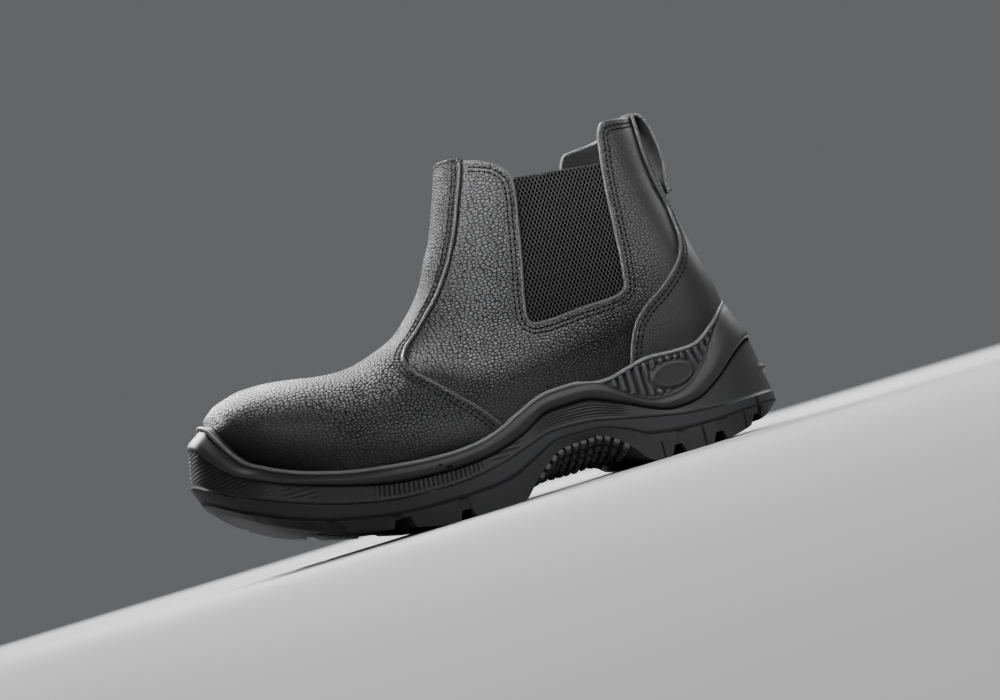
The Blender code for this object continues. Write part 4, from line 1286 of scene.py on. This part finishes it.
class Signal:
    """Output of a shader node, to reckon with."""

    def __init__(self, socket):
        self.socket = socket
        self.tree = socket.id_data

    def maths(self, operation, *others, kind="ShaderNodeMath", output=0):
        """Math node on this output and others."""
        made = node(self.tree, kind, operation=operation)
        for socket, value in zip(made.inputs, (self, *others)):
            put(value, socket)
        return Signal(made.outputs[output])

    def vector(self, operation, *others, output="Vector"):
        """The same on vectors."""
        return self.maths(operation, *others, kind="ShaderNodeVectorMath", output=output)

    def spread(self, low, high, to_low, to_high):
        """Value mapped from one range to another."""
        made = node(self.tree, "ShaderNodeMapRange")
        for socket, value in zip(made.inputs, (self, low, high, to_low, to_high)):
            put(value, socket)
        return Signal(made.outputs[0])

    def over(self, zone, to_low, to_high, base=0.0):
        """Value mapped from a zone in millimetres."""
        return self.spread((base + zone[0]) * MM, (base + zone[1]) * MM, to_low, to_high)

    def times_plus(self, factor, more):
        """This times a factor, with more added."""
        return self.maths("MULTIPLY_ADD", factor, more)

    def __add__(self, other):
        return self.maths("ADD", other)

    def __sub__(self, other):
        return self.maths("SUBTRACT", other)

    def __mul__(self, other):
        return self.maths("MULTIPLY", other)

    def __abs__(self):
        return self.maths("ABSOLUTE")


def put(value, socket):
    """Gives a node's input a number or another node's output."""
    if isinstance(value, Signal):
        value.tree.links.new(value.socket, socket)
    else:
        socket.default_value = value


def node(tree, kind, **values):
    """Node with properties and inputs set by name."""
    made = tree.nodes.new(kind)
    for key, value in values.items():
        if key in made.inputs:
            put(value, made.inputs[key])
        else:
            setattr(made, key, value)
    return made


def shader_of(name):
    """New node material and the inputs of its shader."""
    material = bpy.data.materials.new(name)
    material.use_nodes = True
    return material, material.node_tree.nodes["Principled BSDF"].inputs


def coordinates(material):
    """Place on the boot."""
    return Signal(node(material.node_tree, "ShaderNodeTexCoord").outputs["Object"])


def by_axis(vector):
    """The three numbers of a vector."""
    return [Signal(axis) for axis in node(vector.tree, "ShaderNodeSeparateXYZ", Vector=vector).outputs]


def bump(shader, height, strength, distance):
    """Relief on a shader."""
    made = node(height.tree, "ShaderNodeBump", Strength=strength, Distance=distance, Height=height)
    put(Signal(made.outputs[0]), shader["Normal"])


def tint(shader, amount, dark, light):
    """Colour between two shades."""
    made = node(amount.tree, "ShaderNodeMix", data_type="RGBA", Factor=amount)
    made.inputs[6].default_value = (*dark, 1)
    made.inputs[7].default_value = (*light, 1)
    put(Signal(made.outputs[2]), shader["Base Color"])


def finish_shader(shader, rough, gloss):
    """Roughness and gloss of a shader."""
    put(rough, shader["Roughness"])
    put(gloss, shader["Specular IOR Level"])


def noise(place, scale, detail, output="Fac"):
    """Noise texture at a place."""
    made = node(place.tree, "ShaderNodeTexNoise", Scale=scale, Detail=detail, Vector=place)
    return Signal(made.outputs[output])


def stored(place, name):
    """Number kept at the mesh's points."""
    return Signal(node(place.tree, "ShaderNodeAttribute", attribute_name=name).outputs["Fac"])


def blend(one, other, share):
    """From one number to another by a share."""
    return (other - one).times_plus(share, one)


def pebble_height(place, cell):
    """Domed pebbles with creases, laid on the side, the top or the front by the way a spot faces."""
    tree = place.tree
    normal = Signal(tree.nodes.new("ShaderNodeNewGeometry").outputs["Normal"])
    to_front, to_side, to_top = (abs(axis) for axis in by_axis(normal))
    x, y, z = by_axis(place)
    laid = []
    for across, up in ((x, z), (x, y), (y, z)):
        flat = Signal(node(tree, "ShaderNodeCombineXYZ", X=across, Y=up).outputs[0])
        cells = []
        for feature in ("DISTANCE_TO_EDGE", "F1"):
            made = node(tree, "ShaderNodeTexVoronoi", voronoi_dimensions="2D", feature=feature)
            put(1 / (cell * MM), made.inputs["Scale"])
            put(PEBBLE_RANDOM, made.inputs["Randomness"])
            put(flat, made.inputs["Vector"])
            cells.append(Signal(made.outputs["Distance"]))
        gaps, domes = cells
        round_top = domes.maths("POWER", 2.0).spread(0.0, 0.4, 1.0, 0.0)
        laid.append(round_top.times_plus(0.65, 0.35) * gaps.spread(0.02, 0.25, 0.0, 1.0))
    side, top, front = laid
    more_top = (to_top - to_side).spread(-FACING_BLEND, FACING_BLEND, 0.0, 1.0)
    more_front = (to_front - to_top.maths("MAXIMUM", to_side)).spread(-FACING_BLEND, FACING_BLEND, 0.0, 1.0)
    return blend(blend(side, top, more_top), front, more_front)


def painted_light_at(place, turn):
    """Painted light on the leather's colour and gloss: painted shade below the line where the side turns
    under, painted highlight just above it, and painted light and shade on top of the instep and the toe.
    """
    height, rise, painted_shade_below, back, front, instep, toe = turn
    x, _, z = by_axis(place)
    level = x.times_plus(TURN_HEEL_RISE, z).maths("MINIMUM", x.times_plus(-rise, z))
    near = level.over(ABOVE_TURN, 1.0, 0.0, height)
    more = x.over(TURN_BACK_TO_FRONT, back - 1, front - 1)
    side = level.over(BELOW_TURN, painted_shade_below, 1.0, height) * near.times_plus(more, 1.0)
    on_top = x.over(INSTEP_PAINTED_LIGHT, 0.0, instep - 1) + x.over(TOE_PAINTED_LIGHT, 0.0, toe - instep)
    return side * z.over(TOP_PAINTED_LIGHT, 0.0, 1.0).times_plus(on_top, 1.0)


def strength_at(place):
    """Share of the grain left after lasting: little on the toe's pulled side and on the back panel."""
    x, _, z = by_axis(place)
    pulled = x.over(PULLED_TOE, 0.0, 1.0) * z.over(PULLED_SIDE, 0.0, 1.0)
    uneven = noise(place, 45.0, 2.0).spread(0.35, 0.65, 0.75, 1.0)
    return uneven * (pulled.times_plus(-0.85, 1.0) * x.over(SMOOTH_BACK, 0.2, 1.0))


def leather_material(name, cell, depth, rough, gloss, shade, turn):
    """Black grained leather: flat pebbles with creases between them, over a fine pore, with painted shade
    in the creases and painted light by place.
    """
    material, shader = shader_of(name)
    place = coordinates(material)
    warped = noise(place, 300.0, 2.0, "Color").vector("MULTIPLY_ADD", (PEBBLE_WARP * MM,) * 3, place)
    pebbles = pebble_height(warped.vector("MULTIPLY", PEBBLE_STRETCH), cell)
    fine = noise(place, 2600.0, 3.0)
    wide = noise(place, 30.0, 3.0)
    streaks = noise(place.vector("MULTIPLY", STREAK_SCALE), 1.0, 1.5)
    low = stored(place, "low") * by_axis(place)[0].over(STREAKED_TOE, 0.0, 1.0)
    left = stored(place, "channel").times_plus(-0.35, 1.0) * low.times_plus(-0.5, 1.0)
    share = strength_at(place) * left
    grain = pebbles * share
    pulled = streaks * (low * 3.0)
    bump(shader, fine.times_plus(0.22, grain + pulled), 0.6, depth)
    # Crests lighter and glossier, creases darker: painted shade in the grain, then scaled by the painted
    # light
    crest = grain + share.times_plus(-0.5, 0.5)
    leather_painted_light = painted_light_at(place, turn)
    tint(shader, crest * leather_painted_light, [c * 0.3 for c in shade], [c * 1.5 for c in shade])
    shine = crest.spread(0.05, 0.75, 0.1 * gloss, 1.25 * gloss) * leather_painted_light
    finish_shader(shader, wide.spread(0.3, 0.7, rough - 0.05, rough + 0.06), shine)
    return material


def sole_material(name, shade, rough, gloss):
    """Matt moulded sole with a fine skin; its colour and gloss carry the painted light and shade kept at
    the points, and painted shade for the rim's pits and the heel's splits.
    """
    material, shader = shader_of(name)
    place = coordinates(material)
    bump(shader, noise(place, 1500.0, 3.0), 0.25, 0.00008)
    wide = noise(place, 22.0, 4.0)
    ridge = stored(place, "ridge")
    # Painted shade in the rim's pits
    for middle, half in RIM_PITS:
        off = place.vector("SUBTRACT", world(middle))
        away = off.vector("MULTIPLY", [1 / (size * MM) for size in half]).vector("LENGTH", output="Value")
        ridge = ridge + away.spread(0.7, 1.1, -1.5, 0.0)
    x, _, z = by_axis(place)
    # Painted shade in the heel's splits
    for along, half, top in LUG_SPLITS:
        split = abs(x - world((along, 0, 0))[0]).over((0.0, 0.4), -1.2, 0.0, half)
        ridge = split.times_plus(z.over((0.0, 1.0), 1.0, 0.0, top), ridge)
    # Painted light and shade tint the colour, and shaded places lose their gloss
    painted_tint = ridge.spread(-0.6, 1.0, -0.15, 1.0)
    tint(shader, wide.spread(0.35, 0.7, 0.0, 0.16) + painted_tint, shade, [c * 5 for c in shade])
    soft = wide.spread(0.3, 0.7, rough - 0.06, rough + 0.06)
    finish_shader(shader, soft, ridge.spread(-1.0, 0.0, 0.0, gloss))
    return material


def elastic_material(name):
    """Knitted elastic: a lattice of strands round staggered holes painted near black as shade, with a plain
    band at its top and painted shade growing towards the bottom.
    """
    material, shader = shader_of(name)
    x, _, z = by_axis(coordinates(material))
    column = z.times_plus(KNIT_LEAN, x) * (math.pi / (KNIT_ACROSS * MM))
    row = z * (math.pi / (KNIT_ALONG * MM))
    one_way = abs((column + row).maths("SINE"))
    other_way = abs((column - row).maths("SINE"))
    strand = (one_way * other_way).spread(0.28, 0.58, 1.0, 0.0)
    border = x.times_plus(-KNIT_TOP_SLOPE, z).over((-SELVAGE, 0.4 - SELVAGE), 0.0, 0.8, KNIT_TOP)
    strand = strand.maths("MAXIMUM", border)
    bump(shader, strand, 0.8, 0.0006)
    # Holes painted near black as shade, and painted shade on the lower part of the strands
    tint(shader, strand * z.over(KNIT_LIT, 0.55, 1.0), (0.0003, 0.0003, 0.0003), (0.014, 0.014, 0.0143))
    finish_shader(shader, strand.spread(0.0, 1.0, 1.0, 0.62), strand.spread(0.3, 1.0, 0.0, 0.2))
    return material


def grey(shade, blue):
    """Nearly neutral colour from one number and its blue part."""
    return shade, shade, blue


def cloth_material(name, shade, bright, scale, gloss, edge=FAR):
    """Plain woven cloth, for the tape, the lining and the footbed, with a painted highlight along the
    tape's edges.
    """
    material, shader = shader_of(name)
    x, y, z = by_axis(coordinates(material))
    turn = 2 * math.pi / scale
    warp = ((x + z) * turn).maths("SINE")
    weft = (y * turn).maths("SINE")
    weave = (warp * weft).times_plus(0.5, 0.5)
    bump(shader, weave, 0.5, 0.0003)
    # Painted highlight along the edges, none where the edge is left far away
    border = abs(y).over((-CLOTH_BORDER, 0.0), 0.0, 1.0, edge)
    tint(shader, (weave * 0.3).maths("MAXIMUM", border), shade, bright)
    finish_shader(shader, 0.85, gloss)
    return material


def thread_material(name):
    """Waxed black sewing thread."""
    material, shader = shader_of(name)
    place = coordinates(material)
    twist = Signal(node(place.tree, "ShaderNodeTexWave", Scale=900.0, Vector=place).outputs["Fac"])
    bump(shader, twist, 0.4, 0.0001)
    tint(shader, twist, (0.004, 0.004, 0.004), (0.012, 0.012, 0.012))
    finish_shader(shader, 0.6, 0.12)
    return material


def make_stage():
    """Pale floor, soft light and the camera at the photograph's angle."""
    mesh = bpy.data.meshes.new("floor")
    reach = 4.0
    behind = -1.3
    corners = [(-reach, behind, 0), (reach, behind, 0), (reach, reach, 0), (-reach, reach, 0)]
    mesh.from_pydata(corners, [], [(0, 1, 2, 3)])
    floor = linked("floor", mesh)
    material, shader = shader_of("pale_floor")
    put((0.40, 0.40, 0.41, 1), shader["Base Color"])
    put(0.9, shader["Roughness"])
    mesh.materials.append(material)

    sky = bpy.data.worlds.new("studio")
    sky.use_nodes = True
    background = sky.node_tree.nodes["Background"].inputs
    put((0.72, 0.73, 0.75, 1), background["Color"])
    put(0.18, background["Strength"])
    bpy.context.scene.world = sky

    whole = (0.0, 0.0, 0.08)
    shaft = (-0.06, 0.03, 0.15)
    strip = (-0.02, 0.02, 0.22)
    toe = (0.14, 0.0, 0.05)
    for name, place, aim, size, spread_angle, power in (
        ("key", (0.04, -0.60, 0.78), whole, 0.5, 180, 26.0),
        ("front", (-0.45, 0.72, 0.65), whole, 0.5, 180, 10.0),
        ("fill", (0.25, 0.53, 0.58), shaft, 0.25, 28, 0.55),
        ("strip", (0.70, 0.20, 0.44), strip, 0.2, 18, 0.45),
        ("edge", (-0.70, -0.30, 0.50), whole, 0.5, 180, 4.0),
        ("nose", (0.36, -0.72, 0.56), toe, 0.2, 16, 0.3),
    ):
        lamp = bpy.data.lights.new(name, "AREA")
        lamp.size = size
        lamp.spread = math.radians(spread_angle)
        lamp.energy = power
        obj = linked(name, lamp)
        obj.location = place
        obj.rotation_euler = (Vector(aim) - Vector(place)).to_track_quat("-Z", "Y").to_euler()

    lens = bpy.data.cameras.new("camera")
    lens.lens = CAMERA_LENS
    lens.sensor_width = 36.0
    lens.clip_start = 0.01
    camera = linked("camera", lens)
    back = Vector((math.sin(CAMERA_TURN), math.cos(CAMERA_TURN), 0)) * CAMERA_DISTANCE * MM
    place = back + Vector((0, 0, CAMERA_HEIGHT * MM))
    aim = Vector(world(CAMERA_AIM))
    turn = (aim - place).to_track_quat("-Z", "Y").to_matrix()
    camera.matrix_world = Matrix.Translation(place) @ (turn @ Matrix.Rotation(CAMERA_ROLL, 3, "Z")).to_4x4()
    bpy.context.scene.camera = camera


def main():
    """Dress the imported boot."""
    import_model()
    looks = {look: leather_material(*values) for look, values in LEATHERS.items()}
    looks |= {
        # The lining's own black, made darker still as painted shade inside the boot
        "lining": cloth_material("lining", grey(0.005, 0.0052), grey(0.012, 0.0122), 0.0011, 0.1),
        "footbed": cloth_material("footbed", grey(0.035, 0.037), grey(0.068, 0.070), 0.0014, 0.3),
        "tape": cloth_material("tape", grey(0.010, 0.0105), grey(0.060, 0.061), 0.0016, 0.4, TAPE_BORDER),
        "elastic": elastic_material("elastic"),
        "thread": thread_material("thread"),
        # Needle holes: near-black discs of painted shade
        "hole": cloth_material("needle_hole", grey(0.002, 0.002), grey(0.003, 0.003), 0.0006, 0.02),
    }
    foam = sole_material("foamed_sole", grey(0.0045, 0.0047), 0.48, 0.18)
    # The bead is a lighter copy of the foamed sole: painted highlight along the rim's top
    bead = sole_material("rim_bead", grey(0.026, 0.0265), 0.40, 0.22)
    tread = sole_material("hard_sole", grey(0.0085, 0.0088), 0.68, 0.05)
    # The studs are a lighter copy of the hard sole: painted light on them under the arch
    make_studs(sole_material("lit_arch_stud", grey(0.014, 0.0144), 0.68, 0.08))
    make_panels(last_skin(), looks)
    make_seams(looks)
    dress(make_midsole(foam, bead), "midsole")
    dress(make_outsole(tread), "outsole")
    dress(make_insole(looks["footbed"]), "insole")
    dress(make_pull_loop(looks["tape"]), "pull_loop")
    make_stage()


main()
